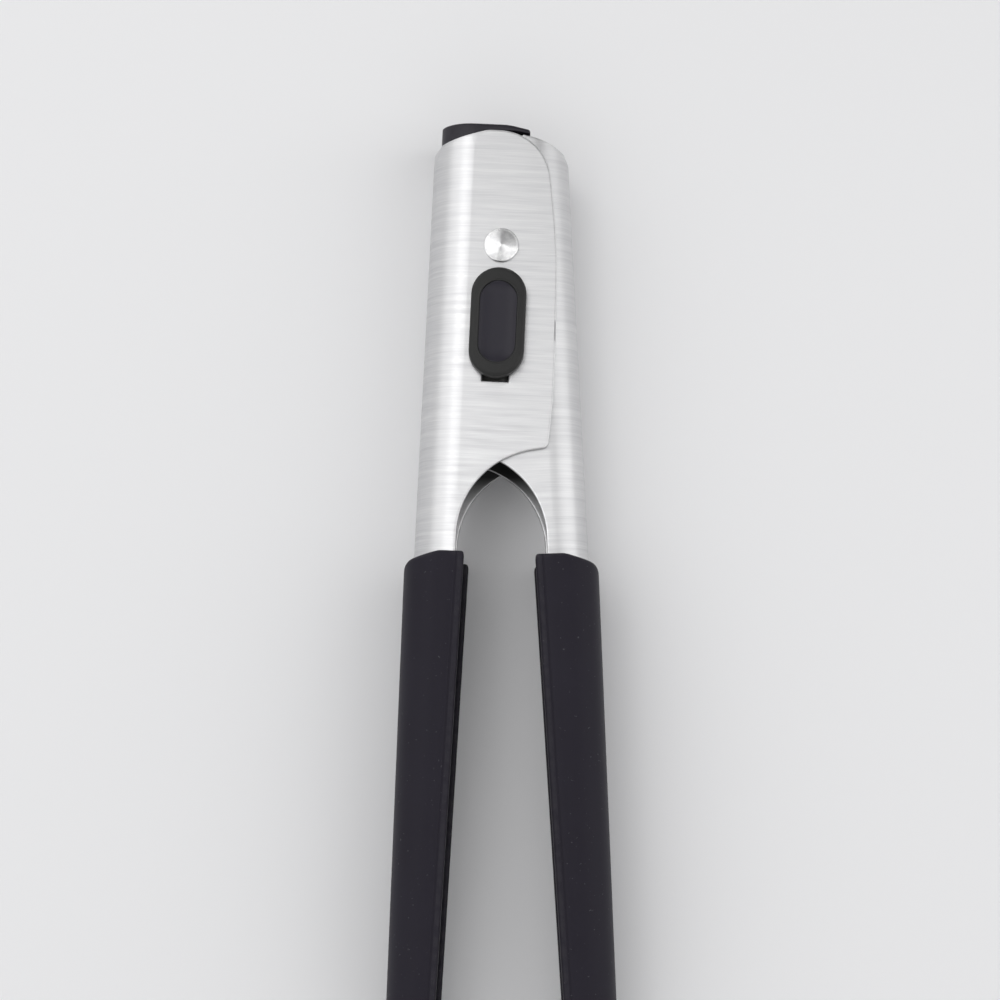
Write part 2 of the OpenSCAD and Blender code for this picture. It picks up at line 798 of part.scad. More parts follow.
module grip_core(side) {
    half = side == LEFT ? outer_half : nest_half;
    r = side == LEFT ? bend_r : nest_bend_r;
    color(nylon) placed() arm_frame(side) grip_frame() difference() {
        grip_layer(core_half, core_bend_r, core_t, lip_t + core_t, grip_t);
        layer_inside(half, r, 0, 0);
        channel_mouth(side);
        core_rivet_places() cylinder(h = 2 * far, d = core_rivet_d, center = true, $fn = fine);
    }
}

// The head of each rivet bears on the bends either side of the flat of the back.
head_out = 1.2;     // reach of the head past the shank
module grip_rivets(side) {
    r = (side == LEFT ? bend_r : nest_bend_r) - sheet_t - lap_step;
    head_r = core_rivet_d / 2 + head_out;
    bend_run = max(0, head_r - (outer_half - bend_r));
    seat = sheet_t + lap_step + r - sqrt(r * r - bend_run * bend_run);
    color(steel) placed() arm_frame(side) grip_frame() core_rivet_places() {
        translate([0, 0, -seat - core_rivet_head_h])
            cylinder(h = core_rivet_head_h, r = head_r, $fn = fine);
        translate([0, 0, -seat - core_rivet_head_h])
            cylinder(h = seat + core_t + core_rivet_head_h, d = core_rivet_d, $fn = fine);
    }
}

module left_grip() { grip_sleeve(LEFT); }
module right_grip() { grip_sleeve(RIGHT); }
module left_grip_core() { grip_core(LEFT); }
module right_grip_core() { grip_core(RIGHT); }
module left_grip_rivets() { grip_rivets(LEFT); }
module right_grip_rivets() { grip_rivets(RIGHT); }

left_arm();
right_arm();
pivot_rivet();
rivet_washer();
spacer_sleeve();
near_cheek_washer();
far_cheek_washer();
torsion_spring();
end_cap();
lock_button();
lock_pad();
lock_stud();
lock_retainer();
lock_spring();
left_grip();
right_grip();
left_grip_core();
right_grip_core();
left_grip_rivets();
right_grip_rivets();
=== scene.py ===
"""Spring loaded kitchen tongs: the dressed model, its finishes and its studio.

Lengths are in metres. The tongs lie on their side with the arms closed, +Z is the pivot
axis and +Y runs from the tips to the head.
"""

import json
import logging
import math
from collections.abc import Callable
from dataclasses import dataclass, replace
from enum import Enum

import bmesh
import bpy
import numpy as np
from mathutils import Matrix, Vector
from mathutils.geometry import delaunay_2d_cdt


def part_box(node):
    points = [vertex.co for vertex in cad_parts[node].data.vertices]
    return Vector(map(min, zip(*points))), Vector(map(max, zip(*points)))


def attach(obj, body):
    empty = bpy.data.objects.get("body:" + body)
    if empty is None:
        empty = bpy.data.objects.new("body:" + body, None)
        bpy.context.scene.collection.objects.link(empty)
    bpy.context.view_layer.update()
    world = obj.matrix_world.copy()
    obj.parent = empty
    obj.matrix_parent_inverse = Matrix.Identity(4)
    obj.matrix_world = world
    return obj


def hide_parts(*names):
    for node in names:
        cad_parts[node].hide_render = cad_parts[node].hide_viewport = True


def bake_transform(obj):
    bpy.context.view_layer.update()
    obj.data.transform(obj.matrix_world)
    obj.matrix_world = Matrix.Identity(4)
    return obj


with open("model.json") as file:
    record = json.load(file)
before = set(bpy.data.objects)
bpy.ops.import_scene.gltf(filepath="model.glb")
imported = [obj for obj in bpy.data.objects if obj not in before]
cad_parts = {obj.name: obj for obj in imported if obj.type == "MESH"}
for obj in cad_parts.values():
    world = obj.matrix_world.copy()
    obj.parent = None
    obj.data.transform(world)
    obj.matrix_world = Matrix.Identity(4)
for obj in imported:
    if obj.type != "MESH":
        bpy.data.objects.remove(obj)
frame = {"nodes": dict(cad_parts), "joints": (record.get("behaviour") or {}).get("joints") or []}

log = logging.getLogger("tongs")

MM = 0.001
JOINTS = {joint["name"]: joint for joint in frame["joints"]}
PIVOT_Y = JOINTS["pivot"]["pos_m"][1]
OPEN_ANGLE = math.radians(JOINTS["pivot"]["range_deg"][1])
LOCK_BODY = JOINTS["lock_slide"]["child"]
LOCK_TRAVEL = JOINTS["lock_slide"]["range_m"][1]
GRIP_HALF = (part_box("left_grip")[1].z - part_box("left_grip")[0].z) / 2
PIVOT = Vector((0.0, PIVOT_Y, GRIP_HALF))

Point = tuple[float, float]
Corner = tuple[float, float, float]
Colour = tuple[float, float, float, float]
Ring = list[Vector]
Object = bpy.types.Object
Material = bpy.types.Material
Node = bpy.types.Node
Tree = bpy.types.NodeTree
Socket = bpy.types.NodeSocket
Inputs = dict[str | int, object]
Surface = Callable[[float, float, float], Vector]

# How far a rounded edge of radius 1 is drawn in, halfway round it.
ROUND_MIDDLE = 0.3


class Side(Enum):
    """An arm of the tongs, as the sign of its X direction."""

    LEFT = -1
    RIGHT = 1

    @property
    def word(self) -> str:
        """Start of the names of this arm's pieces."""
        return self.name.lower()

    @property
    def body(self) -> str:
        """Name of the body that this arm's pieces ride on."""
        return f"{self.word}_arm_body"


# ---------------------------------------------------------------- outlines


def polar(radius: float, angle: float) -> Point:
    """Point at this distance and angle from the pivot."""
    return radius * math.cos(angle), radius * math.sin(angle)


def arc(centre: Point, radius: float, start: float, end: float, step: float = 0.06) -> list[Point]:
    """Points along an arc.

    Args:
        centre: Middle of the circle.
        radius: Radius of the circle.
        start: First angle, in radians.
        end: Last angle, in radians.
        step: Largest turn between two points.

    Returns:
        The points, both ends included.
    """
    count = max(1, math.ceil(abs(end - start) / step))
    angles = [start + (end - start) * i / count for i in range(count + 1)]
    return [(centre[0] + radius * math.cos(a), centre[1] + radius * math.sin(a)) for a in angles]


def rounded(corners: list[Corner]) -> list[Point]:
    """Open outline through corners, each rounded by its own radius.

    Args:
        corners: Corners as (x, y, radius). The two ends stay sharp.

    Returns:
        The points of the outline.
    """
    outline = [corners[0][:2]]
    for before, corner, after in zip(corners, corners[1:], corners[2:]):
        at = Vector(corner[:2])
        u = (Vector(before[:2]) - at).normalized()
        v = (Vector(after[:2]) - at).normalized()
        half = math.acos(max(-1.0, min(1.0, u.dot(v)))) / 2
        out = (u + v).normalized() * corner[2] / math.sin(half)
        sense = 1 if u.x * v.y - u.y * v.x > 0 else -1
        first = math.atan2(-out.y, -out.x) + sense * (math.pi / 2 - half)
        outline += arc(tuple(at + out), corner[2], first, first - sense * (math.pi - 2 * half))
    return outline + [corners[-1][:2]]


def resampled(outline: list[Point], longest: float) -> list[Point]:
    """The same outline with its long stretches divided, so that no step is over longest.

    Args:
        outline: The points of the outline.
        longest: Longest step allowed.

    Returns:
        The points of the divided outline.
    """
    points = [outline[0]]
    for start, end in zip(outline, outline[1:]):
        count = max(1, math.ceil(math.dist(start, end) / longest))
        points += [
            (start[0] + (end[0] - start[0]) * i / count, start[1] + (end[1] - start[1]) * i / count)
            for i in range(1, count + 1)
        ]
    return points


def smooth(low: float, high: float, value: float) -> float:
    """Smooth step from 0 at low to 1 at high."""
    t = max(0.0, min(1.0, (value - low) / (high - low)))
    return t * t * (3 - 2 * t)


def quarter_round(radius: float, steps: int) -> list[Point]:
    """How far a rounded rim is drawn in and how far it drops, from its side to its top."""
    turns = [k * math.pi / (2 * steps) for k in range(steps + 1)]
    return [(radius * (1 - math.cos(a)), radius * (1 - math.sin(a))) for a in turns]


def rounded_box(half: float, start: float, end: float, radius: float) -> list[Point]:
    """Closed outline of a box with rounded corners.

    Args:
        half: Half its width, in x.
        start: The y of the side in whose middle the outline starts.
        end: The y of the opposite side.
        radius: Radius of its corners.

    Returns:
        The points of the outline.
    """
    middle = (0.0, start, 0.0)
    sides = ((half, start), (half, end), (-half, end), (-half, start))
    return rounded([middle, *((x, y, radius) for x, y in sides), middle])[:-1]


# ---------------------------------------------------------------- meshes


def add_object(name: str, data: bpy.types.ID) -> Object:
    """An object with this data, linked to the scene.

    Args:
        name: Name of the object.
        data: Its mesh, lamp or camera.

    Returns:
        The object.
    """
    obj = bpy.data.objects.new(name, data)
    bpy.context.scene.collection.objects.link(obj)
    return obj


def add_mesh(
    name: str, points: list[Vector], faces: list[list[int]], second: list[bool] | None = None
) -> Object:
    """A smooth-shaded, closed mesh object in the shared frame.

    Args:
        name: Name of the object.
        points: Its vertices.
        faces: Its faces, as lists of vertex numbers.
        second: For each face, True if it wears the second material.

    Returns:
        The object, linked to the scene.
    """
    mesh = bpy.data.meshes.new(name)
    mesh.from_pydata([tuple(p) for p in points], [], faces)
    if second:
        mesh.polygons.foreach_set("material_index", [int(flag) for flag in second])
    work = bmesh.new()
    work.from_mesh(mesh)
    bmesh.ops.remove_doubles(work, verts=work.verts, dist=1e-6)
    bmesh.ops.dissolve_degenerate(work, edges=work.edges, dist=1e-7)
    bmesh.ops.recalc_face_normals(work, faces=work.faces)
    for face in work.faces:
        face.smooth = True
    work.to_mesh(mesh)
    work.free()
    return add_object(name, mesh)


def weigh_normals(obj: Object) -> None:
    """Keeps the flats flat next to rounded edges, by weighting normals with face areas.

    Args:
        obj: The piece.
    """
    modifier = obj.modifiers.new("face weighted normals", "WEIGHTED_NORMAL")
    modifier.mode = "FACE_AREA"
    modifier.weight = 60
    modifier.keep_sharp = True


def loft(name: str, rings: list[Ring], last: bool = True, flats: bool = False) -> Object:
    """A skin through closed rings that have the same number of points.

    Args:
        name: Name of the object.
        rings: The rings, in order. The first one is closed with a face.
        last: True closes the last ring too, False leaves it as it is.
        flats: True keeps its flats flat, with weighted normals.

    Returns:
        The object.
    """
    size = len(rings[0])
    points = [p for ring in rings for p in ring]
    faces = []
    for low in range(0, len(points) - size, size):
        for j in range(size):
            k = (j + 1) % size
            faces.append([low + j, low + k, low + size + k, low + size + j])
    faces.append(list(range(size - 1, -1, -1)))
    if last:
        faces.append(list(range(len(points) - size, len(points))))
    obj = add_mesh(name, points, faces)
    if flats:
        weigh_normals(obj)
    return obj


def around(count: int) -> list[float]:
    """Even angles of a full turn."""
    return [2 * math.pi * i / count for i in range(count)]


def circle(centre: Point, radius: float, step: float) -> list[Point]:
    """Closed circle of points, as an arc without its doubled end."""
    return arc(centre, radius, 0.0, 2 * math.pi, step)[:-1]


# ---------------------------------------------------------------- shader building


class Graph:
    """Short calls that add and join the nodes of one node tree."""

    def __init__(self, tree: Tree) -> None:
        """Starts on an empty tree."""
        self.tree = tree
        tree.nodes.clear()

    def fill(self, node: Node, inputs: Inputs) -> None:
        """Sets inputs of a node, each to a constant or to the output of another node.

        Args:
            node: The node.
            inputs: For each input's name or number, a constant or an output to link.
        """
        for key, value in inputs.items():
            if isinstance(value, Socket):
                self.tree.links.new(value, node.inputs[key])
            else:
                node.inputs[key].default_value = value

    def add(self, kind: str, inputs: Inputs | None = None, **settings: object) -> Node:
        """Adds a node of this kind with these settings and inputs.

        Args:
            kind: Blender's type of the node.
            inputs: What its inputs take, as in fill.
            settings: Its other settings.

        Returns:
            The node.
        """
        node = self.tree.nodes.new(kind)
        for key, value in settings.items():
            setattr(node, key, value)
        self.fill(node, inputs or {})
        return node

    def where(self) -> Socket:
        """Place of the surface in the shared frame."""
        return self.add("ShaderNodeTexCoord").outputs["Object"]

    def math(self, operation: str, *values: object) -> Socket:
        """The result of a Math node on these inputs."""
        return self.add("ShaderNodeMath", dict(enumerate(values)), operation=operation).outputs[0]

    def vector(self, operation: str, *values: object) -> Socket:
        """The result of a Vector Math node: a number for a length or a distance."""
        node = self.add("ShaderNodeVectorMath", dict(enumerate(values)), operation=operation)
        return node.outputs["Value" if operation in ("LENGTH", "DISTANCE") else "Vector"]

    def total(self, *parts: tuple[Socket, float]) -> Socket:
        """Sum of values, each times its own weight.

        Args:
            parts: Pairs of an output and its weight.

        Returns:
            The sum.
        """
        terms = [self.math("MULTIPLY", value, weight) for value, weight in parts]
        total = terms[0]
        for term in terms[1:]:
            total = self.math("ADD", total, term)
        return total

    def spread(self, value: Socket, low: object, high: object, *to: object) -> Socket:
        """A value carried from one range to another, 0 to 1 if none is given, and held in it."""
        given = dict(enumerate((value, low, high, *(to or (0.0, 1.0)))))
        return self.add("ShaderNodeMapRange", given).outputs["Result"]

    def noise(self, vector: Socket, scale: float, detail: float, rough: float = 0.5) -> Socket:
        """Value of a noise texture at a vector."""
        inputs = {"Vector": vector, "Scale": scale, "Detail": detail, "Roughness": rough}
        return self.add("ShaderNodeTexNoise", inputs).outputs["Fac"]

    def mix(self, share: Socket, first: object, second: object) -> Socket:
        """Colour mixed from first to second by a share."""
        inputs = {"Factor": share, "A": first, "B": second}
        return self.add("ShaderNodeMix", inputs, data_type="RGBA").outputs["Result"]

    def bump(self, height: Socket, depth: float) -> Socket:
        """Normal of a surface with this height, this many metres deep."""
        inputs = {"Height": height, "Distance": depth, "Strength": 1.0}
        return self.add("ShaderNodeBump", inputs).outputs["Normal"]

    def seen(self) -> Socket:
        """1 for what the eye sees, straight or in bright metal, and 0 for the light itself."""
        rays = self.add("ShaderNodeLightPath").outputs
        return self.math("MAXIMUM", rays["Is Camera Ray"], rays["Is Glossy Ray"])

    def mix_shaders(self, share: Socket, first: Node, second: Node) -> Socket:
        """Shader mixed from first to second by a share."""
        inputs = {0: share, 1: first.outputs[0], 2: second.outputs[0]}
        return self.add("ShaderNodeMixShader", inputs).outputs[0]


def shader_group(
    name: str, inputs: dict[str, float], outputs: tuple[str, ...]
) -> tuple[Graph, bpy.types.NodeOutputs, Node]:
    """Makes a shader node group with named sockets.

    Args:
        name: Name of the group.
        inputs: Each number that it takes beside its Vector, with its default.
        outputs: Names of the numbers that it gives.

    Returns:
        The group's graph, the sockets of its input node and its output node.
    """
    tree = bpy.data.node_groups.new(name, "ShaderNodeTree")
    graph = Graph(tree)
    tree.interface.new_socket("Vector", in_out="INPUT", socket_type="NodeSocketVector")
    for label, default in inputs.items():
        socket = tree.interface.new_socket(label, in_out="INPUT", socket_type="NodeSocketFloat")
        socket.default_value = default
    for label in outputs:
        tree.interface.new_socket(label, in_out="OUTPUT", socket_type="NodeSocketFloat")
    return graph, graph.add("NodeGroupInput").outputs, graph.add("NodeGroupOutput")


def make_brushing() -> Tree:
    """Lines of a brushed sheet, which run across the arm: their height and their tone.

    Returns:
        The group, with inputs Vector, Turn (the lean of the arm) and Pitch (lines a metre).
    """
    graph, given, out = shader_group(
        "brushed lines", {"Turn": 0.0, "Pitch": 4200.0}, ("Height", "Tone")
    )
    turn = {"Vector": given["Vector"], "Angle": given["Turn"]}
    turned = graph.add("ShaderNodeVectorRotate", turn, rotation_type="Z_AXIS").outputs["Vector"]
    at = graph.add("ShaderNodeSeparateXYZ", {"Vector": turned}).outputs
    across = graph.total((at["X"], 1.0), (at["Z"], 0.7))

    def lines(along: float, fineness: float, detail: float) -> Socket:
        """Noise drawn out across the arm, to Pitch * fineness lines a metre."""
        step = graph.math("MULTIPLY", given["Pitch"], fineness)
        stretched = {
            "X": graph.math("MULTIPLY", across, along),
            "Y": graph.math("MULTIPLY", at["Y"], step),
        }
        packed = graph.add("ShaderNodeCombineXYZ", stretched).outputs["Vector"]
        return graph.noise(packed, 1.0, detail, 0.6)

    fine = lines(along=90.0, fineness=1.0, detail=3.0)
    broad = lines(along=45.0, fineness=0.22, detail=2.0)
    scratch = graph.spread(lines(along=160.0, fineness=0.5, detail=1.0), 0.62, 0.74)
    graph.fill(out, {
        "Height": graph.total((fine, 0.7), (broad, 0.3), (scratch, -0.25)),
        "Tone": graph.total((fine, 0.45), (broad, 0.55)),
    })
    return graph.tree


def make_grain() -> Tree:
    """Fine moulded grain with faint clouds of handling and a few specks of lint.

    Returns:
        The group, with inputs Vector and Scale (grains a metre).
    """
    outputs = ("Height", "Cloud", "Speck")
    graph, given, out = shader_group("moulded grain", {"Scale": 5200.0}, outputs)
    sizes = {0: given["Vector"], "Scale": given["Scale"]}
    sized = graph.add("ShaderNodeVectorMath", sizes, operation="SCALE").outputs["Vector"]
    clouds = graph.noise(given["Vector"], scale=55.0, detail=4.0, rough=0.62)
    specks = graph.noise(given["Vector"], scale=1500.0, detail=2.0)
    graph.fill(out, {
        "Height": graph.noise(sized, scale=1.0, detail=3.0, rough=0.6),
        "Cloud": graph.spread(clouds, 0.3, 0.7),
        "Speck": graph.spread(specks, 0.70, 0.76),
    })
    return graph.tree


def make_wear_and_highlight() -> Tree:
    """Mask of sharp edges and corners: rubbed wear, and on the black rubbers a painted edge
    highlight.

    Returns:
        The group, with inputs Vector, Start and Full (how sharp an edge must be to take the edge
        tone).
    """
    graph, given, out = shader_group("edge wear", {"Start": 0.52, "Full": 0.60}, ("Mask",))
    sharp = graph.add("ShaderNodeNewGeometry").outputs["Pointiness"]
    edge = graph.spread(sharp, given["Start"], given["Full"])
    patches = graph.noise(given["Vector"], scale=420.0, detail=3.0, rough=0.6)
    broken = graph.spread(patches, 0.35, 0.6, 0.25, 1.0)
    graph.fill(out, {"Mask": graph.math("MULTIPLY", edge, broken)})
    return graph.tree


def place_group(graph: Graph, tree: Tree, **values: float) -> bpy.types.NodeOutputs:
    """Puts a group in a material, on object coordinates, and gives its output sockets."""
    inputs = {"Vector": graph.where(), **values}
    return graph.add("ShaderNodeGroup", inputs, node_tree=tree).outputs


def new_material(name: str) -> tuple[Material, Graph, Node]:
    """A material with one Principled shader on its output.

    Args:
        name: Name of the material.

    Returns:
        The material, its graph and its shader.
    """
    material = bpy.data.materials.new(name)
    material.use_nodes = True
    graph = Graph(material.node_tree)
    shader = graph.add("ShaderNodeBsdfPrincipled")
    graph.add("ShaderNodeOutputMaterial", {"Surface": shader.outputs["BSDF"]})
    return material, graph, shader


# ---------------------------------------------------------------- finishes


@dataclass(frozen=True)
class Effects:
    """The shader groups that the finishes share."""

    brushing: Tree
    grain: Tree
    wear_and_highlight: Tree


@dataclass(frozen=True, kw_only=True)
class Finish:
    """Two tones that a pattern mixes, and a third on sharp edges: rubbed wear, and on the black
    rubbers a painted highlight.
    """

    name: str
    dark: Colour
    light: Colour
    rubbed_and_highlit: Colour
    worn_and_highlit_edges: Point = (0.53, 0.62)

    def coat(self, graph: Graph, effects: Effects, share: Socket) -> tuple[Socket, Socket]:
        """Colours a surface.

        Args:
            graph: Graph of the material.
            effects: The shared effects.
            share: The pattern, from 0 for the dark tone to 1 for the light one.

        Returns:
            The colour, and the mask of the sharp edges that take the third tone.
        """
        start, full = self.worn_and_highlit_edges
        wear_and_highlight = place_group(graph, effects.wear_and_highlight, Start=start, Full=full)["Mask"]
        return graph.mix(wear_and_highlight, graph.mix(share, self.dark, self.light), self.rubbed_and_highlit), wear_and_highlight


@dataclass(frozen=True, kw_only=True)
class Metal(Finish):
    """Bare metal with a direction of working, along or across its tangent."""

    anisotropy: float = 0.0

    def finish(self, graph: Graph, shader: Node, inputs: Inputs) -> None:
        """Sets the shader to metal, worked across its tangent, with these other inputs."""
        metal = {"Metallic": 1.0, "Anisotropic": self.anisotropy, "Anisotropic Rotation": 0.25}
        graph.fill(shader, metal | inputs)


@dataclass(frozen=True, kw_only=True)
class BrushedSteel(Metal):
    """Satin stainless sheet, brushed across the arm and burnished at its edges, with painted shade
    near the pivot where one is given.
    """

    dark: Colour = (0.57, 0.57, 0.58, 1.0)
    light: Colour = (0.71, 0.71, 0.71, 1.0)
    rubbed_and_highlit: Colour = (0.80, 0.80, 0.80, 1.0)
    anisotropy: float = 0.35
    lean: float = 0.0
    tones: Point = (0.3, 0.7)
    rough: Point = (0.48, 0.36)
    rough_rubbed: float = 0.24
    line_depth: float = 0.004 * MM
    pitch: float = 4200.0
    # Painted shade: a dark colour mixed in near the pivot for the shade inside the head, fading out
    # between the two distances below.
    painted_shade: Colour | None = None
    painted_shade_end: Point = (53 * MM, 60 * MM)

    def build(self, effects: Effects) -> Material:
        """Builds the material, with its lines turned by the lean of the arm.

        Args:
            effects: The shared effects.

        Returns:
            The material.
        """
        material, graph, shader = new_material(self.name)
        lines = place_group(graph, effects.brushing, Turn=self.lean, Pitch=self.pitch)
        colour, wear_and_highlight = self.coat(graph, effects, graph.spread(lines["Tone"], *self.tones))
        # Painted shade: the colour darkens towards the pivot, standing in for the shade inside the
        # channel's head.
        if self.painted_shade:
            reach = graph.vector("DISTANCE", graph.where(), PIVOT)
            colour = graph.mix(graph.spread(reach, *self.painted_shade_end), self.painted_shade, colour)
        rough = graph.spread(lines["Tone"], *self.tones, *self.rough)
        across = graph.add("ShaderNodeTangent", direction_type="RADIAL", axis="Y")
        self.finish(graph, shader, {
            "Base Color": colour,
            "Roughness": graph.spread(wear_and_highlight, 0.0, 1.0, rough, self.rough_rubbed),
            "Tangent": across.outputs["Tangent"],
            "Normal": graph.bump(lines["Height"], self.line_depth),
        })
        return material


@dataclass(frozen=True, kw_only=True)
class TurnedSteel(Metal):
    """Bright steel with the fine rings of a lathe round the pivot's axis."""

    dark: Colour = (0.62, 0.62, 0.625, 1.0)
    light: Colour = (0.80, 0.80, 0.795, 1.0)
    rubbed_and_highlit: Colour = (0.86, 0.86, 0.86, 1.0)
    anisotropy: float = 0.93
    rough: Point = (0.33, 0.27)
    cloud: float = 900.0
    ring_pitch: float = 0.30 * MM
    ring_depth: float = 0.002 * MM

    def build(self, effects: Effects) -> Material:
        """Builds the material, with rings round its axis.

        Args:
            effects: The shared effects.

        Returns:
            The material.
        """
        material, graph, shader = new_material(self.name)
        level = graph.vector("MULTIPLY", graph.vector("SUBTRACT", graph.where(), PIVOT), (1, 1, 0))
        turn = graph.math("MULTIPLY", graph.vector("LENGTH", level), 2 * math.pi / self.ring_pitch)
        cloud = graph.noise(graph.where(), self.cloud, detail=3.0)
        colour, _ = self.coat(graph, effects, graph.spread(cloud, 0.35, 0.65))
        self.finish(graph, shader, {
            "Base Color": colour,
            "Roughness": graph.spread(cloud, 0.3, 0.7, *self.rough),
            "Normal": graph.bump(graph.math("SINE", turn), self.ring_depth),
        })
        return material


@dataclass(frozen=True, kw_only=True)
class Wire(Metal):
    """Drawn spring steel, with a faint drawing haze and bright rubs."""

    dark: Colour = (0.36, 0.355, 0.35, 1.0)
    light: Colour = (0.52, 0.52, 0.53, 1.0)
    rubbed_and_highlit: Colour = (0.66, 0.66, 0.66, 1.0)
    worn_and_highlit_edges: Point = (0.56, 0.66)
    rough: Point = (0.34, 0.24)
    haze: float = 2600.0
    haze_depth: float = 0.004 * MM

    def build(self, effects: Effects) -> Material:
        """Builds the material.

        Args:
            effects: The shared effects.

        Returns:
            The material.
        """
        material, graph, shader = new_material(self.name)
        grain = place_group(graph, effects.grain, Scale=self.haze)
        colour, _ = self.coat(graph, effects, grain["Cloud"])
        self.finish(graph, shader, {
            "Base Color": colour,
            "Roughness": graph.spread(grain["Cloud"], 0.0, 1.0, *self.rough),
            "Normal": graph.bump(grain["Height"], self.haze_depth),
        })
        return material


@dataclass(frozen=True, kw_only=True)
class Moulded(Finish):
    """Moulded plastic or rubber, with a fine grain, traces of handling and lighter sharp edges:
    rubbed wear, which on the black rubbers is mostly a painted highlight.
    """

    worn_and_highlit_edges: Point = (0.52, 0.60)
    rough: Point
    rough_rubbed: float
    lint: float = 0.0
    lint_colour: Colour = (0.16, 0.16, 0.17, 1.0)
    grain: float = 5200.0
    grain_depth: float = 0.006 * MM
    specular: float = 0.3
    sheen: float = 0.0

    def build(self, effects: Effects) -> Material:
        """Builds the material.

        Args:
            effects: The shared effects.

        Returns:
            The material.
        """
        material, graph, shader = new_material(self.name)
        grain = place_group(graph, effects.grain, Scale=self.grain)
        colour, wear_and_highlight = self.coat(graph, effects, grain["Cloud"])
        lint = graph.math("MULTIPLY", grain["Speck"], self.lint)
        rough = graph.spread(grain["Cloud"], 0.0, 1.0, *self.rough)
        graph.fill(shader, {
            "Base Color": graph.mix(lint, colour, self.lint_colour),
            "Roughness": graph.spread(wear_and_highlight, 0.0, 1.0, rough, self.rough_rubbed),
            "Specular IOR Level": self.specular,
            "Sheen Weight": self.sheen,
            "Sheen Roughness": 0.5,
            "Normal": graph.bump(grain["Height"], self.grain_depth),
        })
        return material


# Painted shade for the inner faces of the arms near the pivot.
PIVOT_PAINTED_SHADE: Colour = (0.07, 0.07, 0.07, 1.0)
BLACK_NYLON = Moulded(
    name="black nylon",
    dark=(0.010, 0.008, 0.013, 1.0),
    light=(0.015, 0.013, 0.019, 1.0),
    rubbed_and_highlit=(0.040, 0.038, 0.045, 1.0),
    rough=(0.37, 0.47),
    rough_rubbed=0.34,
    grain_depth=0.004 * MM,
)
BEARING_NYLON = Moulded(
    name="bearing nylon",
    dark=(0.62, 0.60, 0.54, 1.0),
    light=(0.70, 0.68, 0.62, 1.0),
    rubbed_and_highlit=(0.74, 0.72, 0.68, 1.0),
    rough=(0.40, 0.50),
    rough_rubbed=0.36,
    grain_depth=0.002 * MM,
    specular=0.4,
)
# The lighter edge tone here is a painted highlight: it lights the bead round the pad's pocket.
BUTTON_RUBBER = Moulded(
    name="button rubber",
    dark=(0.014, 0.014, 0.014, 1.0),
    light=(0.022, 0.022, 0.021, 1.0),
    rubbed_and_highlit=(0.055, 0.055, 0.053, 1.0),
    rough=(0.45, 0.55),
    rough_rubbed=0.42,
)
# The lighter edge tone here is a painted highlight: it draws the light crescents on the pad's rim.
PAD_RUBBER = Moulded(
    name="pad rubber",
    dark=(0.014, 0.012, 0.020, 1.0),
    light=(0.021, 0.019, 0.028, 1.0),
    rubbed_and_highlit=(0.060, 0.058, 0.066, 1.0),
    rough=(0.43, 0.53),
    rough_rubbed=0.40,
    grain_depth=0.003 * MM,
)
# The lighter edge tone here is partly wear and mostly a painted highlight along the grips' edges.
GRIP_RUBBER = Moulded(
    name="grip rubber",
    dark=(0.007, 0.005, 0.012, 1.0),
    light=(0.012, 0.010, 0.018, 1.0),
    rubbed_and_highlit=(0.055, 0.053, 0.058, 1.0),
    rough=(0.53, 0.63),
    rough_rubbed=0.45,
    lint=0.25,
    specular=0.22,
    sheen=0.03,
)


class Finishes:
    """Every finish of the tongs, built once."""

    def __init__(self, lean: float) -> None:
        """Builds the shared effects and then each material.

        Args:
            lean: Lean of each arm, which its brushed lines follow.
        """
        effects = Effects(make_brushing(), make_grain(), make_wear_and_highlight())
        self.steel: dict[Side, tuple[Material, Material]] = {}
        for side in Side:
            face = BrushedSteel(name=f"brushed steel {side.word}", lean=-side.value * lean)
            # The inner faces take painted shade near the pivot.
            inside = replace(face, name=f"inside steel {side.word}", painted_shade=PIVOT_PAINTED_SHADE)
            self.steel[side] = face.build(effects), inside.build(effects)
        self.turned = TurnedSteel(name="turned steel").build(effects)
        self.wire = Wire(name="spring wire").build(effects)
        self.nylon = BLACK_NYLON.build(effects)
        self.bearing = BEARING_NYLON.build(effects)
        self.button = BUTTON_RUBBER.build(effects)
        self.pad = PAD_RUBBER.build(effects)
        self.grip = GRIP_RUBBER.build(effects)


def dress(obj: Object, slot: str, *materials: Material) -> None:
    """Gives a piece its materials.

    Args:
        obj: The piece.
        slot: The record's slot that its finish comes from. Not used.
        materials: Its materials.
    """
    for material in materials:
        obj.data.materials.append(material)


def place(piece: Object, body: str, slot: str, *materials: Material) -> None:
    """Dresses a piece, makes it ride on a body and reports it.

    Args:
        piece: The piece.
        body: Name of the body.
        slot: The record's slot that its finish comes from. Not used; it is only passed on to dress.
        materials: Its materials.
    """
    dress(piece, slot, *materials)
    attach(piece, body)
    log.info("%s: %d faces, on %s", piece.name, len(piece.data.polygons), body)


def redress(node: str, material: Material) -> None:
    """Gives a carried-over CAD node a better material, in each of its own slots.

    Args:
        node: Name of the node.
        material: The material.
    """
    for own in frame["nodes"][node].material_slots:
        own.material = material
    log.info("%s: kept, now in %s", node, material.name)


# ---------------------------------------------------------------- arms


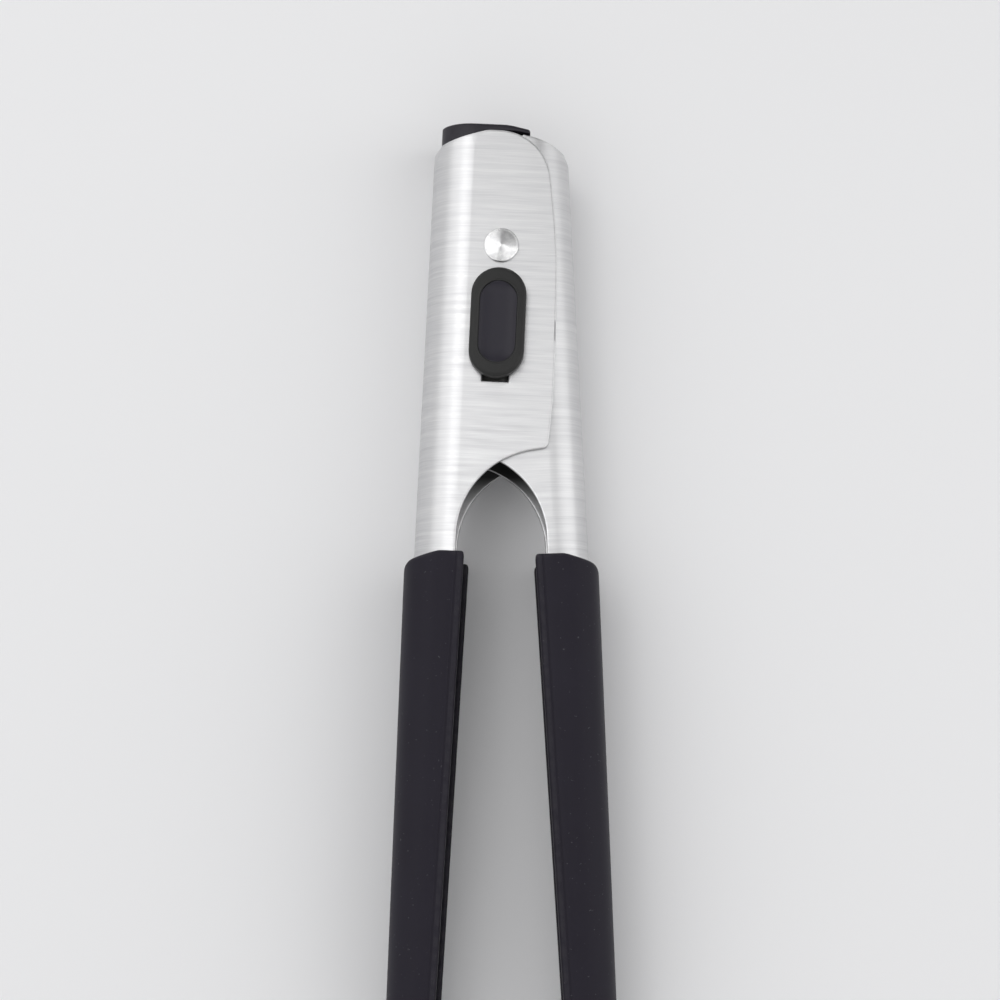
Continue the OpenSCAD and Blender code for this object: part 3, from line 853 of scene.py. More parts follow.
@dataclass(frozen=True)
class Section:
    """Half of a channel's section: a flat back, a bend and a flat cheek.

    Runs are measured along the outer face, from the middle of the back.
    """

    half: float
    bend_r: float
    back: float = 0.0
    guard: float = 0.35 * MM

    @property
    def flat(self) -> float:
        """Half the width of the flat back."""
        return self.half - self.bend_r

    @property
    def bend_end(self) -> float:
        """Run at which the cheek starts."""
        return self.flat + self.bend_r * math.pi / 2

    def at(self, run: float, sunk: float) -> Point:
        """Place of a point of the section.

        Args:
            run: Distance along the outer face from the middle of the back, signed.
            sunk: Distance below the outer face.

        Returns:
            Its depth from the back of the arm, and its height across the arm.
        """
        q, sign = abs(run), math.copysign(1.0, run)
        if q <= self.flat:
            depth, height = sunk, q
        elif q <= self.bend_end:
            turn = (q - self.flat) / self.bend_r
            depth = self.bend_r - (self.bend_r - sunk) * math.cos(turn)
            height = self.flat + (self.bend_r - sunk) * math.sin(turn)
        else:
            depth, height = self.bend_r + q - self.bend_end, self.half - sunk
        return depth - self.back, sign * height

    def run_to(self, depth: float) -> float:
        """Finds the run at which the section reaches a depth.

        Args:
            depth: Depth from the back of the arm.

        Returns:
            The run, or 0 where the whole section lies deeper.
        """
        deep = depth + self.back
        if deep <= 0:
            return 0.0
        if deep < self.bend_r:
            return self.flat + self.bend_r * math.acos(1 - deep / self.bend_r)
        return self.bend_end + deep - self.bend_r

    def bend(self, steps: int) -> list[float]:
        """Even runs round the bend, both of its ends included."""
        return [self.flat + (self.bend_end - self.flat) * i / steps for i in range(steps + 1)]

    def runs(self, last: float, bend_steps: int, cheek_step: float) -> list[float]:
        """Even places for columns of points, with guards beside the bend.

        Args:
            last: Run that the columns on the cheek stay short of.
            bend_steps: Steps round the bend.
            cheek_step: Distance of the columns on the cheek.

        Returns:
            The runs, from the middle of the back.
        """
        back = [self.flat - self.guard] if self.flat > 2 * self.guard else []
        cheek = []
        place = self.bend_end + self.guard
        while place < last:
            cheek.append(place)
            place += cheek_step
        return [0.0] + back + self.bend(bend_steps) + cheek


@dataclass
class Arm:
    """One stainless arm: a bent channel from head to neck, and its cupped scoop."""

    side: Side
    section: Section
    sheet: float = 1.0 * MM
    back_x: float = 17.2 * MM
    lean: float = math.radians(2.6)
    bow: float = math.radians(0.62)
    grip_y: float = 73.6 * MM
    grip_len: float = 117.0 * MM
    cheek_d0: float = 9.8 * MM
    cheek_d1: float = 6.8 * MM
    corner_y: float = 48.0 * MM
    corner_r: float = 1.5 * MM
    corner_slope: float = 0.2
    arch_r: float = 21.0 * MM
    tip_r: float = 155.0 * MM
    tip_gap: float = 1.6 * MM
    cup_r: float = 17.0 * MM
    cup_set: float = 0.3 * MM
    cup_before: float = 12.0 * MM
    cup_after: float = 6.0 * MM
    neck_w: float = 7.9 * MM
    neck_d: float = 2.8 * MM
    neck_y: float = 34.0 * MM
    neck_half: float = 3.0 * MM
    neck_r: float = 25.0 * MM
    scoop_y: float = 56.0 * MM
    scoop_r: float = 30.0 * MM
    scoop_end: float = 0.45
    scallop_r: float = 1.8 * MM
    scallop_pitch: float = 4.6 * MM
    scallops: int = 6
    edge_r: float = 0.22 * MM
    row: float = 2.6 * MM
    back_play: float = 0.05 * MM
    head_step: float = 1.6 * MM
    grip_steps: int = 40
    scoop_step: float = 1.2 * MM
    tip_step: float = 1.5 * MM
    rim_steps: int = 132
    hole_turn: float = 0.2

    # ---- places

    @property
    def grip_end(self) -> float:
        """How far down the arm its grip ends."""
        return self.grip_y + self.grip_len

    def to_world(self, x: float, y: float, z: float) -> Vector:
        """A point of the arm's own frame, whose +X is out through its back."""
        c, s = math.cos(self.lean), math.sin(self.lean)
        return PIVOT + Vector((self.side.value * (x * c - y * s), x * s + y * c, z))

    def from_grip(self, x: float, y: float) -> Point:
        """A point of the grip's frame, in the arm's frame."""
        c, s = math.cos(self.bow), math.sin(self.bow)
        return self.back_x + x * c + y * s, -self.grip_y - x * s + y * c

    def on_back(self, down: float, depth: float) -> Point:
        """The point this far down the arm from the pivot and this deep under its back.

        Args:
            down: Distance down the arm from the pivot.
            depth: Depth under its back.

        Returns:
            The point, in the arm's own frame.
        """
        if down <= self.grip_y:
            return self.back_x - depth, -down
        past = down - self.grip_y
        if past <= self.grip_len:
            return self.from_grip(-depth, -past)
        turn = (past - self.grip_len) / self.tip_r
        reach = self.tip_r - depth
        x, y = polar(reach, turn)
        return self.from_grip(x - self.tip_r, -self.grip_len - y)

    @property
    def tip_centre(self) -> Point:
        """Centre of the tip's curve, from the pivot, in the closed tongs.

        Returns:
            The centre, as (x, y).
        """
        x, y = self.from_grip(-self.tip_r, -self.grip_len)
        c, s = math.cos(self.lean), math.sin(self.lean)
        return x * c - y * s, x * s + y * c

    def tip_reach(self, width: float) -> float:
        """Radius of the tip's curve at this distance from the middle of the cupped section."""
        drop = self.cup_r - math.sqrt(self.cup_r**2 - width**2)
        return self.tip_r - self.cup_set - drop

    def cupped(self, past: float) -> float:
        """Share of the cupped section in the arm's own, this far past the grip."""
        return smooth(self.neck_y - self.cup_before, self.neck_y + self.cup_after, past)

    def surface(self, down: float, run: float, sunk: float) -> Vector:
        """A point of the sheet.

        Args:
            down: Distance down the arm from the pivot.
            run: Distance round the section from the middle of the back, signed.
            sunk: Depth in the sheet.

        Returns:
            The point in the shared frame.
        """
        depth, height = self.section.at(run, sunk)
        cupped = self.cupped(down - self.grip_y - self.grip_len)
        if cupped > 0:
            turn = run / self.cup_r
            reach = self.cup_r - sunk
            cup = (self.cup_set + self.cup_r - reach * math.cos(turn), reach * math.sin(turn))
            depth += (cup[0] - depth) * cupped
            height += (cup[1] - height) * cupped
        x, y = self.on_back(down, depth)
        return self.to_world(x, y, height)

    # ---- the blank: outline of the unrolled sheet, as (down, run)

    def head_outline(self) -> list[Point]:
        """Free edge of the near cheek from the back of the head to the grip, as (x, y)."""
        raise NotImplementedError

    def cheek_edge(self, corner_x: float) -> list[Corner]:
        """Corners of the lower edge, from the corner under the pivot to the grip.

        Args:
            corner_x: How far the corner lies beyond the pivot, in the way of -X.

        Returns:
            The corners, as (x, y, radius).
        """
        edge_x = self.back_x - self.cheek_d0
        return [
            (-corner_x, -self.corner_y, self.corner_r),
            (edge_x, -self.corner_y - self.corner_slope * (corner_x + edge_x), self.arch_r),
            (edge_x, -self.grip_y, 0.0),
        ]

    def tip_run(self, past: float) -> float:
        """Run of the free edge of the tip, this far past the grip.

        Args:
            past: Distance past the lower end of the grip.

        Returns:
            The run.
        """
        f = max(0.0, min(1.0, past / self.neck_y))
        depth = self.neck_d + (self.cheek_d1 - self.neck_d) * (1 + math.cos(math.pi * f)) / 2
        return self.section.run_to(depth)

    def rim(self) -> list[Point]:
        """Rim of the scoop with its scallops, from its outer corner to the middle.

        Returns:
            The points, as (down, run).
        """
        centre = self.tip_centre
        flat = self.tip_gap / 2 - centre[0]
        points = []
        for i in range(self.rim_steps + 1):
            width = GRIP_HALF * (1 - i / self.rim_steps)
            reach = self.tip_reach(width)
            y = centre[1] - math.sqrt(reach**2 - flat**2)
            for k in range(self.scallops // 2):
                middle = (k + 0.5) * self.scallop_pitch
                bite = self.scallop_r**2 - (width - middle) ** 2
                if bite > 0:
                    low = centre[1] - math.sqrt(self.tip_reach(middle) ** 2 - flat**2)
                    y = max(y, low + math.sqrt(bite))
            turn = math.asin((centre[1] - y) / reach) + self.lean - self.bow
            run = self.cup_r * math.asin(width / self.cup_r)
            points.append((self.grip_end + turn * self.tip_r, run))
        return points

    def neck_edge(self, last: float) -> list[Point]:
        """Free edge from the grip to the rim, which starts this far past the grip.

        Args:
            last: How far past the grip the rim starts.

        Returns:
            The points, as (down, run).
        """
        corners = [
            (self.neck_half - self.neck_y, self.neck_w, 0.0),
            (-self.neck_y - self.neck_half, self.neck_w, self.neck_r),
            (-self.scoop_y, GRIP_HALF, self.scoop_r),
            (-self.tip_r * self.scoop_end, GRIP_HALF, 0.0),
        ]
        downs, widths = zip(*[(-y, w) for y, w in resampled(rounded(corners), self.scoop_step)])
        edge = []
        past = self.tip_step
        while past < last:
            y = self.tip_reach(self.neck_w) * math.sin(past / self.tip_r)
            width = float(np.interp(y, downs, widths))
            scoop = self.cup_r * math.asin(min(width, GRIP_HALF) / self.cup_r)
            share = self.cupped(past)
            edge.append((self.grip_end + past, self.tip_run(past) * (1 - share) + scoop * share))
            past += self.tip_step
        return edge

    def blank(self) -> list[Point]:
        """Outline of the unrolled sheet, one closed loop.

        Returns:
            The points, as (down, run).
        """
        half = []
        for x, y in resampled(self.head_outline(), self.head_step):
            if x <= self.back_x + self.back_play:
                half.append((-y, self.section.run_to(self.back_x - x)))
        half[0] = (half[0][0], 0.0)
        for i in range(1, self.grip_steps + 1):
            f = i / self.grip_steps
            depth = self.cheek_d0 + (self.cheek_d1 - self.cheek_d0) * f
            half.append((self.grip_y + self.grip_len * f, self.section.run_to(depth)))
        rim = self.rim()
        half += self.neck_edge(rim[0][0] - self.grip_end) + rim
        half[-1] = (half[-1][0], 0.0)
        return half + [(down, -run) for down, run in reversed(half[1:-1])]

    def holes(self) -> list[list[Point]]:
        """Loops cut out of the blank, as (down, run)."""
        return []

    def on_cheek(self, x: float, y: float, near: bool = True) -> Point:
        """The place in the blank of a point of the near or far cheek, given as (x, y)."""
        run = self.section.bend_end + self.back_x - x - self.section.bend_r
        return -y, run if near else -run

    def hole(self, points: list[Point], near: bool = True) -> list[Point]:
        """A loop of cheek points as a loop of the blank."""
        return [self.on_cheek(x, y, near) for x, y in points]

    def build(self) -> Object:
        """The arm as one closed sheet with rounded edges.

        Returns:
            The arm.
        """
        e, t = self.edge_r, self.sheet
        eighth, quarter = math.pi / 4, math.pi / 2
        profile = [(e, 0.0)]
        profile += [(e - e * math.sin(a), e - e * math.cos(a)) for a in (eighth, quarter)]
        profile += [(e - e * math.sin(a), t - e + e * math.cos(a)) for a in (quarter, eighth)]
        profile += [(e, t)]
        sheet = SheetMesh([self.blank()] + self.holes(), self.edge_r, self.row, self.section)
        return sheet.build(f"{self.side.word}_arm_sheet", self.surface, profile)


@dataclass
class SheetMesh:
    """Meshes an unrolled outline with holes and folds it into a sheet of some thickness.

    The first loop is the outline, the others are the holes.
    """

    loops: list[list[Point]]
    edge: float
    row: float
    section: Section
    column: float = 2.6 * MM
    bend_steps: int = 13
    guards: Point = (0.3 * MM, 0.56 * MM)
    guard_gap: float = 0.22 * MM
    grid_gap: float = 0.75 * MM
    weld: float = 1e-5

    @staticmethod
    def inside(points: np.ndarray, loop: np.ndarray) -> np.ndarray:
        """True for each point that lies inside a loop.

        Args:
            points: Places in the blank, one a row.
            loop: The loop.

        Returns:
            A flag for each point.
        """
        x, y = points[:, 0][:, None], points[:, 1][:, None]
        x0, y0 = loop[:, 0][None], loop[:, 1][None]
        x1, y1 = np.roll(loop[:, 0], -1)[None], np.roll(loop[:, 1], -1)[None]
        crosses = (y0 > y) != (y1 > y)
        with np.errstate(divide="ignore", invalid="ignore"):
            at = x0 + (y - y0) / (y1 - y0) * (x1 - x0)
        return (np.sum(crosses & (x < at), axis=1) % 2).astype(bool)

    @staticmethod
    def clearance(points: np.ndarray, loop: np.ndarray) -> np.ndarray:
        """Distance of each point from a loop.

        Args:
            points: Places in the blank, one a row.
            loop: The loop.

        Returns:
            A distance for each point.
        """
        best = np.full(len(points), 1e9)
        ends = np.roll(loop, -1, axis=0)
        for a, b in zip(loop, ends):
            along = b - a
            t = np.clip(((points - a) @ along) / max(float(along @ along), 1e-18), 0, 1)
            best = np.minimum(best, np.linalg.norm(points - a - t[:, None] * along, axis=1))
        return best

    def pushed(self, number: int, distance: float) -> list[Point]:
        """The loop of this number, moved into the sheet by a distance.

        Args:
            number: Number of the loop, where 0 is the outline.
            distance: How far it moves.

        Returns:
            The moved loop.
        """
        points = np.array(self.loops[number])
        area = 0.5 * np.sum(
            points[:, 0] * np.roll(points[:, 1], -1) - np.roll(points[:, 0], -1) * points[:, 1]
        )
        sign = (1 if area > 0 else -1) * (-1 if number else 1)
        before = points - np.roll(points, 1, axis=0)
        after = np.roll(points, -1, axis=0) - points
        before /= np.linalg.norm(before, axis=1)[:, None]
        after /= np.linalg.norm(after, axis=1)[:, None]
        middle = before + after
        middle /= np.maximum(np.linalg.norm(middle, axis=1), 1e-9)[:, None]
        normal = np.stack([-middle[:, 1], middle[:, 0]], axis=1) * sign
        return [tuple(p) for p in points + normal * distance]

    def within(self, points: np.ndarray, loops: list[np.ndarray]) -> np.ndarray:
        """True for each point that lies inside the first loop and in none of the others.

        Args:
            points: Places in the blank, one a row.
            loops: The outline, and then the holes.

        Returns:
            A flag for each point.
        """
        keep = self.inside(points, loops[0])
        for hole in loops[1:]:
            keep &= ~self.inside(points, hole)
        return keep

    def inner_points(self) -> np.ndarray:
        """Points inside the sheet: guards along its edges, and a grid that keeps off them.

        Returns:
            The places, one a row.
        """
        loops = [np.array(loop) for loop in self.loops]
        low, high = loops[0].min(axis=0), loops[0].max(axis=0)
        runs = self.section.runs(high[1], self.bend_steps, self.column)
        runs = [-r for r in reversed(runs[1:])] + runs
        rows = np.arange(low[0] + self.row / 2, high[0], self.row)
        grid = [(down, run) for down in rows for run in runs]
        guards = []
        for number in range(len(loops)):
            for apart in self.guards:
                guards += self.pushed(number, self.edge + apart)
        kept = []
        for places, gap in ((guards, self.guard_gap), (grid, self.grid_gap)):
            points = np.array(places)
            points = points[self.within(points, loops)]
            for loop in loops:
                points = points[self.clearance(points, loop) > self.edge + gap]
            kept.append(points)
        return np.vstack(kept)

    def triangulated(self) -> tuple[list[Point], np.ndarray, list[list[int]]]:
        """Fills the blank, up to its rounded edge, with triangles.

        Returns:
            The points, the triangles as numbers of points, and the numbers along each loop.
        """
        insets = [self.pushed(number, self.edge) for number in range(len(self.loops))]
        corners, edges = [], []
        for inset in insets:
            first = len(corners)
            corners += inset
            edges += [(first + i, first + (i + 1) % len(inset)) for i in range(len(inset))]
        places = [Vector(p) / MM for p in [*corners, *self.inner_points()]]
        found = delaunay_2d_cdt(places, edges, [], 0, self.weld)
        flat = [(p.x * MM, p.y * MM) for p in found[0]]
        triangles = np.array([f for f in found[2] if len(f) == 3])
        middles = np.array(flat)[triangles].mean(axis=1)
        triangles = triangles[self.within(middles, [np.array(inset) for inset in insets])]
        moved_to = {old: new for new, originals in enumerate(found[3]) for old in originals}
        borders = []
        first = 0
        for inset in insets:
            borders.append([moved_to[first + i] for i in range(len(inset))])
            first += len(inset)
        return flat, triangles, borders

    def build(self, name: str, surface: Surface, profile: list[Point]) -> Object:
        """Folds the blank.

        Args:
            name: Name of the object.
            surface: Function of (down, run, sunk) that gives a point of the sheet.
            profile: Places (in from the edge, sunk) of the rings round each edge, from the
                outer face to the inner one.

        Returns:
            The object.
        """
        flat, triangles, borders = self.triangulated()
        count = len(flat)
        points = [surface(down, run, 0.0) for down, run in flat]
        points += [surface(down, run, profile[-1][1]) for down, run in flat]
        faces = [list(map(int, t)) for t in triangles]
        faces += [[int(i) + count for i in reversed(t)] for t in triangles]
        inner = [len(triangles) <= i < len(faces) for i in range(len(faces))]
        for number, border in enumerate(borders):
            rings = [border]
            for inward, sunk in profile[1:-1]:
                ring = self.pushed(number, inward) if inward else self.loops[number]
                rings.append([len(points) + i for i in range(len(ring))])
                points += [surface(down, run, sunk) for down, run in ring]
            rings.append([i + count for i in border])
            for upper, lower in zip(rings, rings[1:]):
                for i in range(len(border)):
                    k = (i + 1) % len(border)
                    faces.append([upper[i], upper[k], lower[k], lower[i]])
        inner += [False] * (len(faces) - len(inner))
        used = sorted({i for face in faces for i in face})
        renumber = {old: new for new, old in enumerate(used)}
        renumbered = [[renumber[i] for i in face] for face in faces]
        obj = add_mesh(name, [points[i] for i in used], renumbered, inner)
        weigh_normals(obj)
        return obj


@dataclass
class OuterArm(Arm):
    """The left arm, whose cheeks lie outside those of the right one."""

    crown_x: float = 4.5 * MM
    crown_y: float = 28.4 * MM
    crown_r: float = 6.0 * MM
    back_fall: float = 4.1 * MM
    past_back: float = 1.0 * MM
    seam_x: float = 14.0 * MM
    shoulder_in: float = 4.6 * MM
    shoulder_r: float = 12.7 * MM
    seam_top_in: float = 0.6 * MM
    seam_top_y: float = 0.6 * MM
    seam_low_y: float = 36.5 * MM
    seam_r: float = 175.0 * MM
    corner_in: float = 0.95 * MM
    slot_w: float = 6.4 * MM
    slot_top: float = 9.85 * MM
    slot_end: float = 32.85 * MM
    slot_r: float = 0.3 * MM
    rivet_r: float = 2.5 * MM
    peg_y: float = 19.15 * MM
    peg_r: float = 1.55 * MM
    peg_turn: float = 0.3

    def head_outline(self) -> list[Point]:
        """Top edge, shoulder, seam, lower corner and arch of the outer cheek.

        Returns:
            The points, as (x, y).
        """
        return rounded([
            (self.back_x + self.past_back, self.crown_y - self.back_fall, 0.0),
            (self.crown_x, self.crown_y, self.crown_r),
            (self.shoulder_in - self.seam_x, self.crown_y, self.shoulder_r),
            (self.seam_top_in - self.seam_x, self.seam_top_y, self.seam_r),
            (-self.seam_x, -self.seam_low_y, self.seam_r),
        ] + self.cheek_edge(self.seam_x - self.corner_in))

    def holes(self) -> list[list[Point]]:
        """The slot of the button, the rivet's hole in both cheeks and the peg's in the back.

        Returns:
            The loops, as (down, run).
        """
        slot = rounded_box(self.slot_w / 2, -self.slot_top, -self.slot_end, self.slot_r)
        rivet = circle((0.0, 0.0), self.rivet_r, self.hole_turn)
        peg = circle((-self.peg_y, 0.0), self.peg_r, self.peg_turn)
        return [self.hole(slot), self.hole(rivet), self.hole(rivet, near=False), peg]


@dataclass
class InnerArm(Arm):
    """The right arm, nested between the cheeks of the left one."""

    nest_top_r: float = 28.3 * MM
    cheek_reach: float = 9.677 * MM
    straight_y: float = 20.0 * MM
    back_gap: float = 0.04 * MM
    rivet_r: float = 2.55 * MM
    stud_y: float = 12.0 * MM
    track_r: float = 1.8 * MM
    track_turn: float = 0.08
    track_end_turn: float = 0.25

    def line_x(self, distance: float, angle: float, y: float) -> float:
        """X, at this y, of the line at a distance from the pivot and square to an angle."""
        return (distance - y * math.sin(angle)) / math.cos(angle)

    def head_outline(self) -> list[Point]:
        """Round end about the pivot, the free edge under the seam, and the arch.

        Returns:
            The points, as (x, y).
        """
        low = math.pi - 2 * self.lean
        high = low - OPEN_ANGLE
        top = high - math.acos(self.cheek_reach / self.nest_top_r)
        start = math.acos((self.back_x + self.back_gap) / self.nest_top_r)
        outline = arc((0.0, 0.0), self.nest_top_r, start, top)
        outline += arc((0.0, 0.0), self.cheek_reach, high, low)
        edge = self.line_x(self.cheek_reach, low, -self.straight_y)
        corner = self.line_x(self.cheek_reach, low, -self.corner_y)
        return outline + rounded([(edge, -self.straight_y, 0.0)] + self.cheek_edge(-corner))

    def holes(self) -> list[list[Point]]:
        """The rivet's hole in both cheeks, and the stud's track with its notch.

        Returns:
            The loops, as (down, run).
        """
        rivet = circle((0.0, 0.0), self.rivet_r, self.hole_turn)
        closed = -math.pi / 2 - 2 * self.lean
        opened = closed - OPEN_ANGLE
        r, out = self.track_r, self.stud_y
        fine, coarse = self.track_turn, self.track_end_turn
        quarter = math.pi / 2
        track = arc((0.0, 0.0), out - r, opened, closed, fine)
        track += arc(polar(out, closed), r, closed + math.pi, closed + quarter, coarse)[1:]
        notch = polar(out + LOCK_TRAVEL, closed)
        track += arc(notch, r, closed + quarter, closed - quarter, coarse)
        turn = math.asin(r / (out + r))
        track += arc((0.0, 0.0), out + r, closed - turn, opened, fine)[1:]
        track += arc(polar(out, opened), r, opened, opened - math.pi, coarse)[1:-1]
        return [self.hole(rivet), self.hole(rivet, near=False), self.hole(track)]


# ---------------------------------------------------------------- grips


@dataclass
class Grip:
    """Soft sleeve of one arm, with a lip that wraps over the edges of the steel."""

    arm: Arm
    corner_r: float = 8.0 * MM
    back: float = 2.1 * MM
    skin: float = 1.28 * MM
    lip: float = 2.9 * MM
    lip_in: float = 1.8 * MM
    edge_r: float = 0.9 * MM
    lip_r: float = 0.45 * MM
    end_r: float = 6.0 * MM
    shoulder_w: float = 8.0 * MM
    shoulder_fall: float = 2.2 * MM
    shoulder_r: float = 5.0 * MM
    top_r: float = 2.0 * MM
    start: float = 0.0
    shy: float = 0.0
    bead_at: float = 1.7 * MM
    bead_depth: float = 0.22 * MM
    bead_w: float = 0.22 * MM
    bead_columns: tuple[int, ...] = (-4, -2, -1, 0, 1, 2, 4)
    bend_steps: int = 12
    bend_guard: float = 0.4 * MM
    thinnest: float = 0.1 * MM
    end_skin: float = 2.06 * MM
    rows: int = 44
    ease: float = 14.0 * MM

    def __post_init__(self) -> None:
        """Works out the section of the sleeve and the reach of its lips."""
        self.section = Section(GRIP_HALF, self.corner_r, self.back)
        self.mouth = GRIP_HALF - (self.arm.section.half - self.lip_in)
        shoulder = rounded([
            (self.back, -self.end_r - self.shoulder_fall, 0.0),
            (self.back, -self.shoulder_fall, self.top_r),
            (self.back - self.shoulder_w, 0.0, self.shoulder_r),
            (-self.end_r - self.shoulder_w, 0.0, 0.0),
        ])
        self.shoulder = [(-x, -y) for x, y in shoulder[1:]]

    def lip_run(self, past: float, near: bool) -> float:
        """Run of the lip on one side, this far past the upper end of the grip.

        Args:
            past: Distance past the upper end of the grip.
            near: True for the near side, False for the far one.

        Returns:
            The run.
        """
        arm = self.arm
        depth = arm.cheek_d0 + (arm.cheek_d1 - arm.cheek_d0) * past / arm.grip_len
        return self.section.run_to(depth + self.lip - (self.shy if near else 0.0))

    def top_dip(self, depth: float) -> float:
        """How far the upper end of the grip falls back at this depth, down its shoulder."""
        depths, falls = zip(*self.shoulder)
        return self.start + float(np.interp(depth, depths, falls))

    def foot_dip(self, depth: float) -> float:
        """How far the lower end of the grip rises at this depth, round its corner."""
        rise = self.end_r - (depth + self.back)
        return self.end_r - math.sqrt(self.end_r**2 - rise**2) if rise > 0 else 0.0

    def columns(self, last: float) -> list[float]:
        """Runs of the columns on one side, up to the rounded edge of the lip.

        Args:
            last: Run of the lip.

        Returns:
            The runs, from the middle of the back.
        """
        section = self.section
        runs = [0.0, section.flat * 0.5, section.flat - self.bend_guard]
        runs += section.bend(self.bend_steps)
        bead = [last - self.bead_at + k * 0.5 * self.bead_w for k in self.bead_columns]
        near = section.bend_end + self.bend_guard
        if near < bead[0]:
            runs += [near, (near + bead[0]) / 2]
        else:
            runs += [section.bend_end + (bead[0] - section.bend_end) * k for k in (0.33, 0.66)]
        return runs + bead

    def ring(self, past: float, sunk: float, inner: float) -> Ring:
        """Closed ring of points round the sleeve.

        Args:
            past: Distance of the ring from the upper end of the grip.
            sunk: How far its outer face is sunk for the rounding of the end.
            inner: Depth of its inner face.

        Returns:
            The points, in order.
        """
        near = self.half_ring(past, sunk, inner, True)
        far = self.half_ring(past, sunk, inner, False)
        ring = [self.place(past, run, deep) for run, deep in near]
        other = [self.place(past, -run, deep) for run, deep in far]
        return ring + other[::-1][1:-1]

    def half_ring(self, past: float, sunk: float, inner: float, near: bool) -> list[Point]:
        """One side of a ring, as (run, depth) from the outer face round the lip and back.

        Args:
            past: Distance past the upper end of the grip.
            sunk: How far the outer face is sunk for the rounding of the end.
            inner: Depth of the inner face.
            near: True for the near side, False for the far one.

        Returns:
            The points, in order.
        """
        last = self.lip_run(past, near)
        half: list[Point] = []
        for run in self.columns(last):
            groove = math.exp(-(((run - last + self.bead_at) / self.bead_w) ** 2)) * self.bead_depth
            half.append((run, max(sunk, groove) if sunk < self.edge_r else sunk))
        e, lip_r, mouth = self.edge_r, self.lip_r, self.mouth
        for k in range(1, 5):
            a = math.pi / 8 * k
            half.append((last - max(e - e * math.sin(a), sunk), max(e - e * math.cos(a), sunk)))
        for k in range(0, 4):
            a = math.pi / 6 * k
            half.append((
                last - max(lip_r - lip_r * math.cos(a), sunk),
                mouth - lip_r + lip_r * math.sin(a),
            ))
        reach = max(self.skin, sunk + self.thinnest)
        half += [(last - reach, mouth), (last - reach, inner)]
        return half + [(min(run, last - reach), inner) for run in reversed(self.columns(last))]

    def place(self, past: float, run: float, deep: float) -> Vector:
        """The point of the sleeve at this distance, run and depth.

        Args:
            past: Distance past the upper end of the grip.
            run: Run round the section, signed.
            deep: Depth under the outer face.

        Returns:
            The point in the shared frame.
        """
        depth, height = self.section.at(run, deep)
        outer_depth, _ = self.section.at(run, 0.0)
        length, reach = self.arm.grip_len, self.ease
        down = past + self.top_dip(outer_depth) * (1 - smooth(0.0, reach, past))
        down -= self.foot_dip(outer_depth) * smooth(length - reach, length, past)
        x, y = self.arm.from_grip(-depth, -down)
        return self.arm.to_world(x, y, height)

    def build(self) -> Object:
        """The sleeve as one closed mesh.

        Returns:
            The sleeve.
        """
        length = self.arm.grip_len
        start = [(down, sunk, self.end_skin) for down, sunk in quarter_round(self.edge_r, 4)]
        start += [(self.skin, 0.0, self.end_skin), (self.skin, 0.0, self.skin)]
        finish = [(length - down, sunk, inner) for down, sunk, inner in reversed(start)]
        step = (length - 2 * self.skin) / self.rows
        middle = [(self.skin + step * i, 0.0, self.skin) for i in range(1, self.rows)]
        rings = [self.ring(*station) for station in start + middle + finish]
        return loft(f"{self.arm.side.word}_grip_sleeve", rings)


# ---------------------------------------------------------------- head


